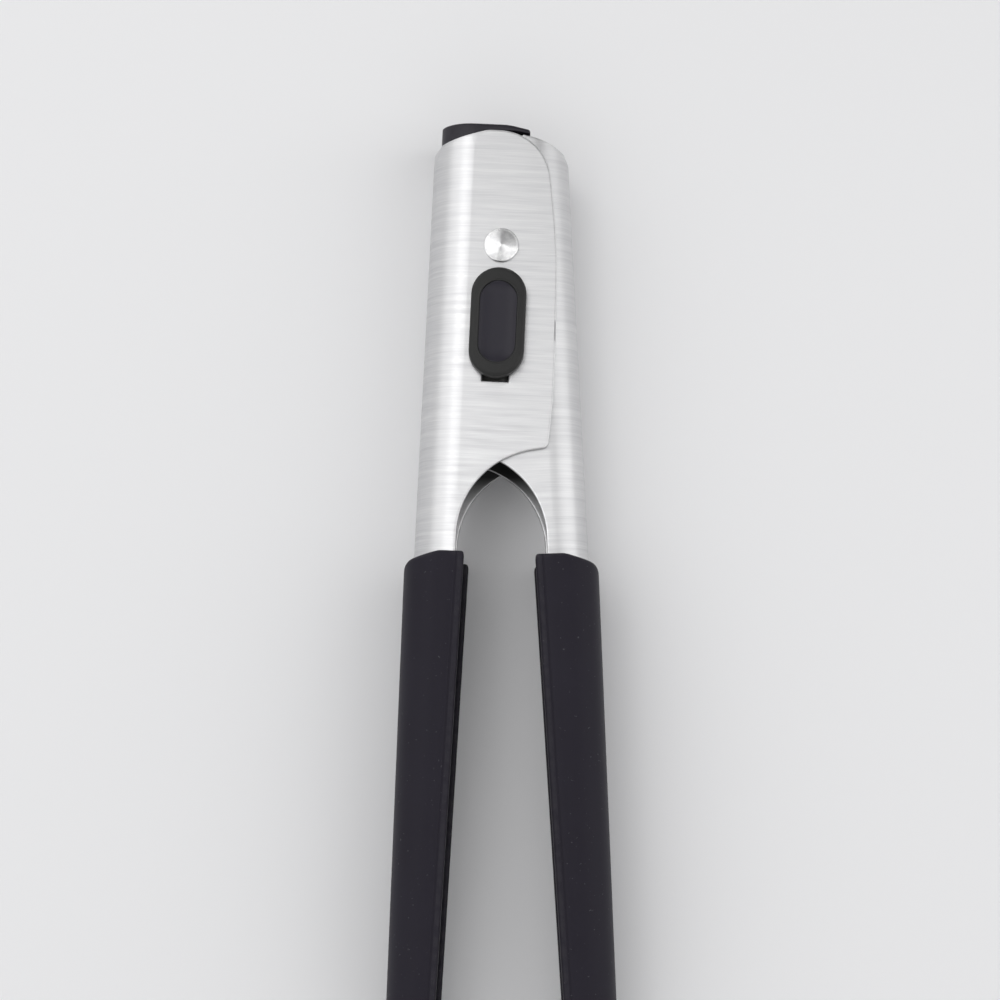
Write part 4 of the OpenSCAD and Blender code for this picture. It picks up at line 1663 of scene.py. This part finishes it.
@dataclass
class EndCap:
    """Plug in the top of the outer channel, with a roof that stands proud of the steel."""

    arm: OuterArm
    half: float = 9.9 * MM
    bend_r: float = 8.4 * MM
    back: float = 16.1 * MM
    roof_back: float = 15.5 * MM
    end_x: float = -7.1 * MM
    end_y: float = 24.3 * MM
    end_slope: float = 0.36
    end_r: float = 0.6 * MM
    rise: float = 1.88 * MM
    flat_x: float = -0.5 * MM
    flat_r: float = 12.0 * MM
    roof_slope: float = 0.208
    edge_r: float = 0.6 * MM
    swing_gap: float = 0.45 * MM
    swing_top: float = 28.3 * MM
    plug_y: float = 14.05 * MM
    plug_half: float = 8.15 * MM
    plug_bend: float = 6.7 * MM
    plug_slope: float = 0.654
    plug_zero: float = -17.5 * MM
    plug_levels: tuple[float, ...] = (16.0 * MM, 20.0 * MM, 23.0 * MM)
    foot_r: float = 0.5 * MM
    least_r: float = 0.1 * MM
    under_r: float = 0.15 * MM
    roof_shares: tuple[float, ...] = (0.94, 0.7, 0.35, 0.0)
    side_steps: int = 10
    end_steps: int = 5
    bend_turn: float = 0.13
    end_turn: float = 0.3
    peg_y: float = 19.15 * MM
    peg_r: float = 1.42 * MM
    peg_turn: float = 0.2
    peg_steps: tuple[Point, ...] = (
        (14.6 * MM, 1.0),
        (16.9 * MM, 1.0),
        (17.08 * MM, 0.93),
        (17.15 * MM, 0.75),
    )

    def loop(
        self, half: float, bend: float, end_x: float, end_r: float, inset: float
    ) -> list[Point]:
        """Level section of the cap, as (x, z), from the middle of its back and round.

        Args:
            half: Half its width.
            bend: Radius of the corners at its back.
            end_x: Place of its free end.
            end_r: Radius of the corners at its free end.
            inset: How far the section is drawn in all round.

        Returns:
            The points of the loop.
        """
        left, right = end_x + inset, self.back - inset
        side = half - inset
        bend, end_r = bend - inset, max(end_r - inset, self.least_r)
        start, stop = right - bend, left + end_r
        corner = arc((start, side - bend), bend, math.pi / 2, 0.0, self.bend_turn)
        upper = [(right, 0.0)] + corner[::-1]
        count = self.side_steps
        upper += [(start + (stop - start) * i / count, side) for i in range(1, count)]
        upper += arc((stop, side - end_r), end_r, math.pi / 2, math.pi, self.end_turn)
        count = self.end_steps
        upper += [(left, (side - end_r) * (1 - i / count)) for i in range(1, count + 1)]
        return upper + [(x, -z) for x, z in reversed(upper[1:-1])]

    def top(self, x: float) -> float:
        """Height of the roof's top at a place across the head.

        Args:
            x: Place across the head.

        Returns:
            The height over the pivot.
        """
        crown = self.arm.crown_y + self.rise
        low = self.flat_x - self.end_x
        outline = rounded([
            (self.end_x, crown - low * self.roof_slope, 0.0),
            (self.flat_x, crown, self.flat_r),
            (self.back, crown, 0.0),
        ])
        return float(np.interp(x, *zip(*outline)))

    def under(self, x: float) -> float:
        """Height at this x of the round that the other arm's head sweeps."""
        return math.sqrt((self.swing_top + self.swing_gap) ** 2 - x * x)

    def roof_loop(self, inset: float, level: float) -> list[Point]:
        """Section of the roof, whose free end leans in with its height.

        Args:
            inset: How far the section is drawn in all round.
            level: Height of the section.

        Returns:
            The points of the loop.
        """
        end_x = self.end_x + (level - self.end_y) * self.end_slope
        points = self.loop(self.half, self.bend_r, end_x, self.end_r, inset)
        return [(min(x, self.roof_back - inset), z) for x, z in points]

    def plug_loop(self, inset: float, level: float) -> list[Point]:
        """Section of the plug, whose free end is cut back for the open channel's back."""
        end_x = max(self.end_x, self.plug_zero + self.plug_slope * level)
        return self.loop(self.plug_half, self.plug_bend, end_x, self.plug_bend, inset)

    def lifted(self, points: list[Point], height: Callable[[float], float]) -> Ring:
        """Ring of a section's points, each at the height that belongs to its x."""
        return [self.arm.to_world(x, height(x), z) for x, z in points]

    def rings(self) -> list[Ring]:
        """Rings from the foot of the plug, out along the roof's underside and over its top.

        Returns:
            The rings, in order.
        """
        low, soft = self.plug_y, self.foot_r
        steps = [(soft, low), (soft * ROUND_MIDDLE, low + soft * ROUND_MIDDLE), (0.0, low + soft)]
        steps += [(0.0, y) for y in self.plug_levels]
        rings = [self.lifted(self.plug_loop(inset, y), lambda x, y=y: y) for inset, y in steps]
        inner = self.plug_loop(0.0, self.swing_top + self.swing_gap)
        outer = self.roof_loop(self.under_r, self.swing_top)
        middle = [((a[0] + b[0]) / 2, (a[1] + b[1]) / 2) for a, b in zip(inner, outer)]
        rings += [self.lifted(points, self.under) for points in (inner, middle, outer)]
        side = self.roof_loop(0.0, self.swing_top)
        rings.append(self.lifted(side, lambda x: self.under(x) + self.under_r))
        for inset, drop in quarter_round(self.edge_r, 5):
            points = self.roof_loop(inset, self.swing_top)
            rings.append(self.lifted(points, lambda x, drop=drop: self.top(x) - drop))
        for share in self.roof_shares:
            points = [(x, z * share) for x, z in self.roof_loop(self.edge_r, self.swing_top)]
            rings.append(self.lifted(points, self.top))
        return rings

    def peg(self) -> Object:
        """The snap peg that stands in the back of the steel.

        Returns:
            The peg.
        """
        rings = []
        for x, share in self.peg_steps:
            points = circle((self.peg_y, 0.0), self.peg_r * share, self.peg_turn)
            rings.append([self.arm.to_world(x, y, z) for y, z in points])
        return loft("end_cap_peg", rings)

    def build(self) -> list[Object]:
        """The cap and its peg."""
        return [loft("end_cap_body", self.rings(), last=False, flats=True), self.peg()]


@dataclass
class LockButton:
    """Slide button: a soft oval carrier on a neck, with a dished pad let into its face."""

    arm: OuterArm
    middle_y: float = 19.1 * MM
    width: float = 13.0 * MM
    length: float = 26.4 * MM
    low: float = 11.15 * MM
    high: float = 14.35 * MM
    edge_r: float = 1.0 * MM
    bead: float = 0.10 * MM
    bead_w: float = 0.55 * MM
    pad_width: float = 8.8 * MM
    pad_length: float = 19.6 * MM
    pad_deep: float = 1.6 * MM
    dish: float = 0.9 * MM
    dish_power: int = 10
    side_power: int = 4
    side_share: float = 0.85
    foot_r: float = 0.4 * MM
    foot_cut: float = 0.1 * MM
    bead_shares: tuple[float, ...] = (0.0, 0.17, 0.33, 0.5, 0.67, 0.83, 1.0)
    side_steps: int = 14
    end_turn: float = 0.14
    pocket_in: float = 0.3 * MM
    pad_gap: float = 0.02 * MM
    pad_edge: float = 0.12 * MM
    pad_insets: tuple[float, ...] = (0.35, 0.6, 0.9, 1.3, 1.8, 2.4, 3.1, 3.8, 4.4)
    tail_ends: Point = (27.0 * MM, 38.0 * MM)
    tail_heights: Point = (9.68 * MM, 9.93 * MM)
    tail_r: float = 1.0 * MM
    neck_width: float = 6.2 * MM
    neck_length: float = 18.3 * MM
    neck_low: float = 10.05 * MM
    neck_in: float = 0.05 * MM
    neck_r: float = 0.5 * MM
    neck_step: float = 2.0 * MM

    def oval(self, wide: float, long: float, inset: float) -> list[Point]:
        """Bar with half-round ends, drawn in by an inset, as (x, y) about the button's middle.

        Args:
            wide: Its width.
            long: Its length.
            inset: How far it is drawn in all round.

        Returns:
            The points of the loop.
        """
        r, straight = wide / 2 - inset, (long - wide) / 2
        count = self.side_steps
        upper = [(r, -straight + 2 * straight * i / count) for i in range(count + 1)]
        upper += arc((0.0, straight), max(r, 0.0), 0.0, math.pi, self.end_turn)[1:-1]
        return upper + [(-x, -y) for x, y in upper]

    def ring(self, points: list[Point], z: float) -> Ring:
        """A loop of the button at one height."""
        return [self.arm.to_world(x, y - self.middle_y, z) for x, y in points]

    def carrier(self) -> Object:
        """Soft body of the button, with rounded rims and the pocket of the pad.

        Returns:
            The carrier.
        """
        wide, long = self.width, self.length
        top = self.high - self.bead
        steps = [
            (self.foot_r, self.low),
            (self.foot_cut, self.low + self.foot_cut),
            (0.0, self.low + self.foot_r),
        ]
        steps += [(inset, top - drop) for inset, drop in quarter_round(self.edge_r, 6)]
        rings = [self.ring(self.oval(wide, long, inset), z) for inset, z in steps]
        wide, long = self.pad_width, self.pad_length
        steps = [
            (-self.bead_w * (1 - share), top + self.bead * math.sin(share * math.pi))
            for share in self.bead_shares
        ]
        floor = self.high - self.pad_deep
        steps += [(0.0, floor), (self.pocket_in, floor)]
        rings += [self.ring(self.oval(wide, long, inset), z) for inset, z in steps]
        return loft("lock_button_carrier", rings, flats=True)

    def neck(self) -> Object:
        """Neck that runs in the slot of the cheek.

        Returns:
            The neck.
        """
        x, y, r = self.neck_width / 2, self.neck_length / 2, self.neck_r
        corners = ((x, y, r), (-x, y, r), (-x, -y, r), (x, -y, r))
        outline = rounded([(x, 0.0, 0.0), *corners, (x, 0.0, 0.0)])
        points = resampled(outline, self.neck_step)[:-1]
        heights = (self.neck_low, self.low + self.neck_in)
        return loft("lock_button_neck", [self.ring(points, z) for z in heights])

    def tail(self) -> Object:
        """Thin black tail behind the cheek, under the slot's lower end, which shows black through
        it.

        Returns:
            The tail.
        """
        top, foot = (self.middle_y - y for y in self.tail_ends)
        points = rounded_box(self.neck_width / 2, top, foot, self.tail_r)
        return loft("lock_button_tail", [self.ring(points, z) for z in self.tail_heights])

    def pad(self) -> Object:
        """Dished thumb rest, deepest in the middle of its length.

        Returns:
            The pad.
        """
        wide, long = self.pad_width, self.pad_length
        gap, soft = self.pad_gap, self.pad_edge
        eased = soft * ROUND_MIDDLE
        steps = [(gap, None), (gap, soft), (gap + eased, eased), (gap + soft, 0.0)]
        steps += [(inset * MM, 0.0) for inset in self.pad_insets]
        rings = []
        for inset, drop in steps:
            ring = []
            for x, y in self.oval(wide, long, inset):
                z = self.high - self.pad_deep + gap
                if drop is not None:
                    z = self.face(x, y) - drop
                ring.append(self.arm.to_world(x, y - self.middle_y, z))
            rings.append(ring)
        return loft("lock_pad_face", rings, last=False, flats=True)

    def face(self, x: float, y: float) -> float:
        """Height of the dished face at a place of the pad.

        Args:
            x: Place across the button, from its middle.
            y: Place along the button, from its middle.

        Returns:
            The height.
        """
        along = y / (self.pad_length / 2)
        across = x / (self.pad_width / 2)
        bowl = max(0.0, 1 - along**self.dish_power)
        bowl *= 1 - self.side_share * abs(across) ** self.side_power
        return self.high - self.bead - (self.dish - self.bead) * bowl

    def build(self) -> list[Object]:
        """The carrier, its neck, its tail and its pad."""
        return [self.carrier(), self.neck(), self.tail(), self.pad()]


@dataclass
class PivotRivet:
    """Turned rivet: a head with a low cone, a shank and a rolled far end.

    Its far end is listed as (radius, height over the far cheek) and the rim of its head as
    (out from the head's radius, height over the near cheek), both in millimetres.
    """

    shank: float = 2.5 * MM
    half: float = 11.0 * MM
    washer: float = 0.6 * MM
    head: float = 4.1 * MM
    high: float = 1.3 * MM
    cone_fall: float = 0.57 * MM
    cone_steps: tuple[float, ...] = (2.4 * MM, 1.2 * MM, 0.3 * MM, 0.05 * MM)
    turns: int = 96
    far_end: tuple[Point, ...] = (
        (0.06, -0.78), (1.1, -0.8), (1.5, -0.86), (2.65, -0.9), (2.9, -0.82),
        (3.58, -0.5), (3.7, -0.34), (3.7, -0.05), (3.64, 0.0), (2.5, 0.0),
    )
    rim: tuple[Point, ...] = (
        (-0.3, 0.0), (-0.08, 0.1), (0.0, 0.3), (0.0, 0.55), (-0.04, 0.66),
        (-0.13, 0.74), (-0.26, 0.79), (-0.36, 0.79), (-0.46, 0.78), (-0.56, 0.81),
    )

    def build(self) -> Object:
        """The rivet as one turned mesh.

        Returns:
            The rivet.
        """
        low = -self.half - self.washer
        tip = self.half + self.high
        profile = [(r * MM, low + z * MM) for r, z in self.far_end] + [(self.shank, self.half)]
        profile += [(self.head + out * MM, self.half + z * MM) for out, z in self.rim]
        profile += [(r, tip - r * self.cone_fall / self.head) for r in self.cone_steps[:-1]]
        profile.append((self.cone_steps[-1], tip))
        rings = []
        for radius, height in profile:
            turned = [Vector((*polar(radius, a), height)) for a in around(self.turns)]
            rings.append([PIVOT + point for point in turned])
        return loft("pivot_rivet_turned", rings, flats=True)


@dataclass
class TorsionSpring:
    """Coil round the sleeve with one straight leg on the back of each arm."""

    wire_r: float = 0.9 * MM
    coil_r: float = 6.2 * MM
    coil_h: float = 8.775 * MM
    half_turns: int = 9
    leg_foot: Point = (15.59 * MM, -32.33 * MM)
    leg_top: float = 4.0 * MM
    leg_step: float = 4.0 * MM
    bend: float = 10.0 * MM
    half_turn_steps: int = 14
    sides: int = 12

    def path(self) -> list[Vector]:
        """Middle line of the wire, from the left leg's foot to the right one's.

        Returns:
            The points, measured from the pivot.
        """
        x, y = self.leg_foot
        top = (self.coil_r, -self.leg_top, self.bend)
        leg = rounded([(x, y, 0.0), top, (self.coil_r, 0.0, 0.0)])
        leg = resampled(leg, self.leg_step)
        half = self.coil_h / 2
        points = [Vector((-px, py, -half)) for px, py in leg[:-1]]
        steps = self.half_turns * self.half_turn_steps
        for i in range(steps + 1):
            f = i / steps
            turn = math.pi * (1 - self.half_turns * f)
            px, py = polar(self.coil_r, turn)
            points.append(Vector((px, py, -half + self.coil_h * f)))
        return points + [Vector((px, py, half)) for px, py in reversed(leg[:-1])]

    def build(self) -> Object:
        """The wire as one tube, which runs between the two arms.

        Returns:
            The wire.
        """
        points = self.path()
        rings = []
        up = Vector((0.0, 0.0, 1.0))
        for i, point in enumerate(points):
            along = (points[min(i + 1, len(points) - 1)] - points[max(i - 1, 0)]).normalized()
            side = along.cross(up).normalized()
            lift = side.cross(along)
            rings.append([
                PIVOT + point + (side * math.cos(a) + lift * math.sin(a)) * self.wire_r
                for a in around(self.sides)
            ])
        obj = loft("torsion_spring_wire", rings)
        Side.LEFT.body
        Side.RIGHT.body
        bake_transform(obj)
        return obj


# ---------------------------------------------------------------- studio


def add_plane(name: str, x: float, y: float) -> Object:
    """A level rectangle that reaches this far each way from its middle.

    Args:
        name: Name of the object.
        x: Reach in X.
        y: Reach in Y.

    Returns:
        The rectangle.
    """
    mesh = bpy.data.meshes.new(name)
    mesh.from_pydata([(-x, -y, 0), (x, -y, 0), (x, y, 0), (-x, y, 0)], [], [[0, 1, 2, 3]])
    return add_object(name, mesh)


def turn_to(obj: Object, aim: Vector) -> None:
    """Turns a lamp, a card or a camera to look along a direction."""
    obj.rotation_euler = aim.to_track_quat("-Z", "Y").to_euler()


@dataclass(frozen=True)
class Panel:
    """Name, place from the pivot and size of a lamp or card, and the lamp's power in watts."""

    name: str
    at: Corner
    size: Point
    power: float = 0.0


@dataclass
class Studio:
    """Pale floor, soft lamps, plain world, and a camera square above the head."""

    floor_half: float = 12.0
    lit_reach: float = 0.35
    far_reach: float = 1.0
    floor_colour: Colour = (0.90, 0.90, 0.905, 1.0)
    floor_shade: Colour = (0.885, 0.885, 0.89, 1.0)
    floor_cloud: float = 3.0
    world_colour: Colour = (0.90, 0.90, 0.91, 1.0)
    world_strength: float = 0.70
    seen_colour: Colour = (0.80, 0.80, 0.805, 1.0)
    card_colour: Colour = (0.01, 0.01, 0.01, 1.0)
    card_dust: Colour = (0.02, 0.02, 0.02, 1.0)
    card_cloud: float = 5.0
    paper_rough: float = 0.9
    lamp_aim: Corner = (0.0, -0.05, 0.0)
    lamps: tuple[Panel, ...] = (
        Panel("key", (-0.55, 0.2, 0.80), (1.5, 1.2), 3.2),
        Panel("fill", (0.75, -0.05, 0.55), (0.45, 0.9), 1.4),
        Panel("top", (0.0, 0.22, 1.1), (1.2, 0.62), 2.6),
    )
    cards: tuple[Panel, ...] = (
        Panel("north card", (0.24, 0.55, 0.75), (0.55, 0.9)),
        Panel("camera card", (-0.10, -0.34, 0.85), (0.26, 0.42)),
    )
    lens: float = 92.9
    sensor: float = 36.0
    camera_at: Corner = (-0.307, -162.14, 602.42)
    look_at: Corner = (-0.307, -61.04, 11.0)

    def floor(self) -> None:
        """The floor, which passes into the backdrop's tone well outside the tongs' shadow."""
        obj = add_plane("floor", self.floor_half, self.floor_half)
        material, graph, shader = new_material("floor paper")
        cloud = graph.noise(graph.where(), self.floor_cloud, detail=3.0)
        graph.fill(shader, {
            "Base Color": graph.mix(cloud, self.floor_colour, self.floor_shade),
            "Roughness": self.paper_rough,
            "Specular IOR Level": 0.0,
        })
        reach = graph.vector("LENGTH", graph.where())
        far = graph.spread(reach, self.lit_reach, self.far_reach)
        backdrop = graph.add("ShaderNodeEmission", {"Color": self.seen_colour})
        share = graph.math("MULTIPLY", far, graph.seen())
        output = next(n for n in material.node_tree.nodes if n.type == "OUTPUT_MATERIAL")
        graph.fill(output, {"Surface": graph.mix_shaders(share, shader, backdrop)})
        obj.data.materials.append(material)

    def lamp(self, panel: Panel) -> None:
        """A rectangular soft lamp that faces the head of the tongs.

        Args:
            panel: Its name, place, size and power.
        """
        data = bpy.data.lights.new(panel.name, "AREA")
        data.shape = "RECTANGLE"
        data.size, data.size_y = panel.size
        data.energy = panel.power
        obj = add_object(panel.name, data)
        obj.location = PIVOT + Vector(panel.at)
        turn_to(obj, PIVOT + Vector(self.lamp_aim) - obj.location)

    def card(self, panel: Panel) -> None:
        """A black card that bright metal sees and the eye doesn't.

        Args:
            panel: Its name, place and size.
        """
        obj = add_plane(panel.name, panel.size[0] / 2, panel.size[1] / 2)
        obj.location = PIVOT + Vector(panel.at)
        turn_to(obj, -Vector(panel.at))
        material, graph, shader = new_material(panel.name)
        cloud = graph.noise(graph.where(), self.card_cloud, detail=2.0)
        colour = graph.mix(cloud, self.card_colour, self.card_dust)
        graph.fill(shader, {"Base Color": colour, "Roughness": self.paper_rough})
        obj.data.materials.append(material)
        obj.visible_camera = False

    def camera(self) -> None:
        """The camera, above the tongs and a little towards their tips."""
        data = bpy.data.cameras.new("camera")
        data.lens = self.lens
        data.sensor_width = self.sensor
        obj = add_object("camera", data)
        stand, target = Vector(self.camera_at) * MM, Vector(self.look_at) * MM
        obj.location = PIVOT + stand
        turn_to(obj, target - stand)
        bpy.context.scene.camera = obj

    def world(self) -> None:
        """A plain pale world, which the eye and bright metal see in the floor's own tone."""
        world = bpy.data.worlds.new("studio")
        world.use_nodes = True
        graph = Graph(world.node_tree)
        tone = {"Color": self.world_colour, "Strength": self.world_strength}
        light = graph.add("ShaderNodeBackground", tone)
        backdrop = graph.add("ShaderNodeBackground", {"Color": self.seen_colour})
        surface = graph.mix_shaders(graph.seen(), light, backdrop)
        graph.add("ShaderNodeOutputWorld", {"Surface": surface})
        bpy.context.scene.world = world

    def build(self) -> None:
        """Sets up the floor, the world, the lamps, the cards and the camera."""
        self.floor()
        self.world()
        for panel in self.lamps:
            self.lamp(panel)
        for panel in self.cards:
            self.card(panel)
        self.camera()
        bpy.context.scene.view_settings.view_transform = "Standard"


def main() -> None:
    """Builds and dresses every piece, places all but the spring on their bodies, and then lights
    the scene.
    """
    logging.basicConfig(level=logging.INFO, format="%(name)s: %(message)s")
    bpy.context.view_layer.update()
    outer = OuterArm(Side.LEFT, Section(11.0 * MM, 9.5 * MM))
    inner = InnerArm(Side.RIGHT, Section(9.6 * MM, 8.1 * MM))
    finishes = Finishes(outer.lean)

    for arm, grip in ((outer, Grip(outer, shy=0.8 * MM)), (inner, Grip(inner, start=0.7 * MM))):
        side = arm.side
        sheet = arm.build()
        place(sheet, side.body, "brushed_steel", *finishes.steel[side])
        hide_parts(f"{side.word}_arm")
        sleeve = grip.build()
        place(sleeve, side.body, "grip_rubber", finishes.grip)
        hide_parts(f"{side.word}_grip")

    cap, peg = EndCap(outer).build()
    for piece in (cap, peg):
        place(piece, outer.side.body, "black_nylon", finishes.nylon)
    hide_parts("end_cap")

    carrier, neck, tail, pad = LockButton(outer).build()
    for piece in (carrier, neck, tail):
        place(piece, LOCK_BODY, "button_rubber", finishes.button)
    place(pad, LOCK_BODY, "black_nylon", finishes.pad)
    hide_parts("lock_button")
    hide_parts("lock_pad")

    rivet = PivotRivet().build()
    place(rivet, outer.side.body, "turned_steel", finishes.turned)
    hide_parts("pivot_rivet")

    spring = TorsionSpring().build()
    dress(spring, "spring_wire", finishes.wire)
    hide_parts("torsion_spring")
    log.info("%s: %d faces, between both arms", spring.name, len(spring.data.polygons))

    for material, nodes in (
        (finishes.turned, ("rivet_washer", "lock_stud", "lock_retainer")),
        (finishes.wire, ("left_grip_rivets", "right_grip_rivets", "lock_spring")),
        (finishes.bearing, ("near_cheek_washer", "far_cheek_washer", "spacer_sleeve")),
        (finishes.nylon, ("left_grip_core", "right_grip_core")),
    ):
        for node in nodes:
            redress(node, material)

    Studio().build()


if __name__ == "__main__":
    main()
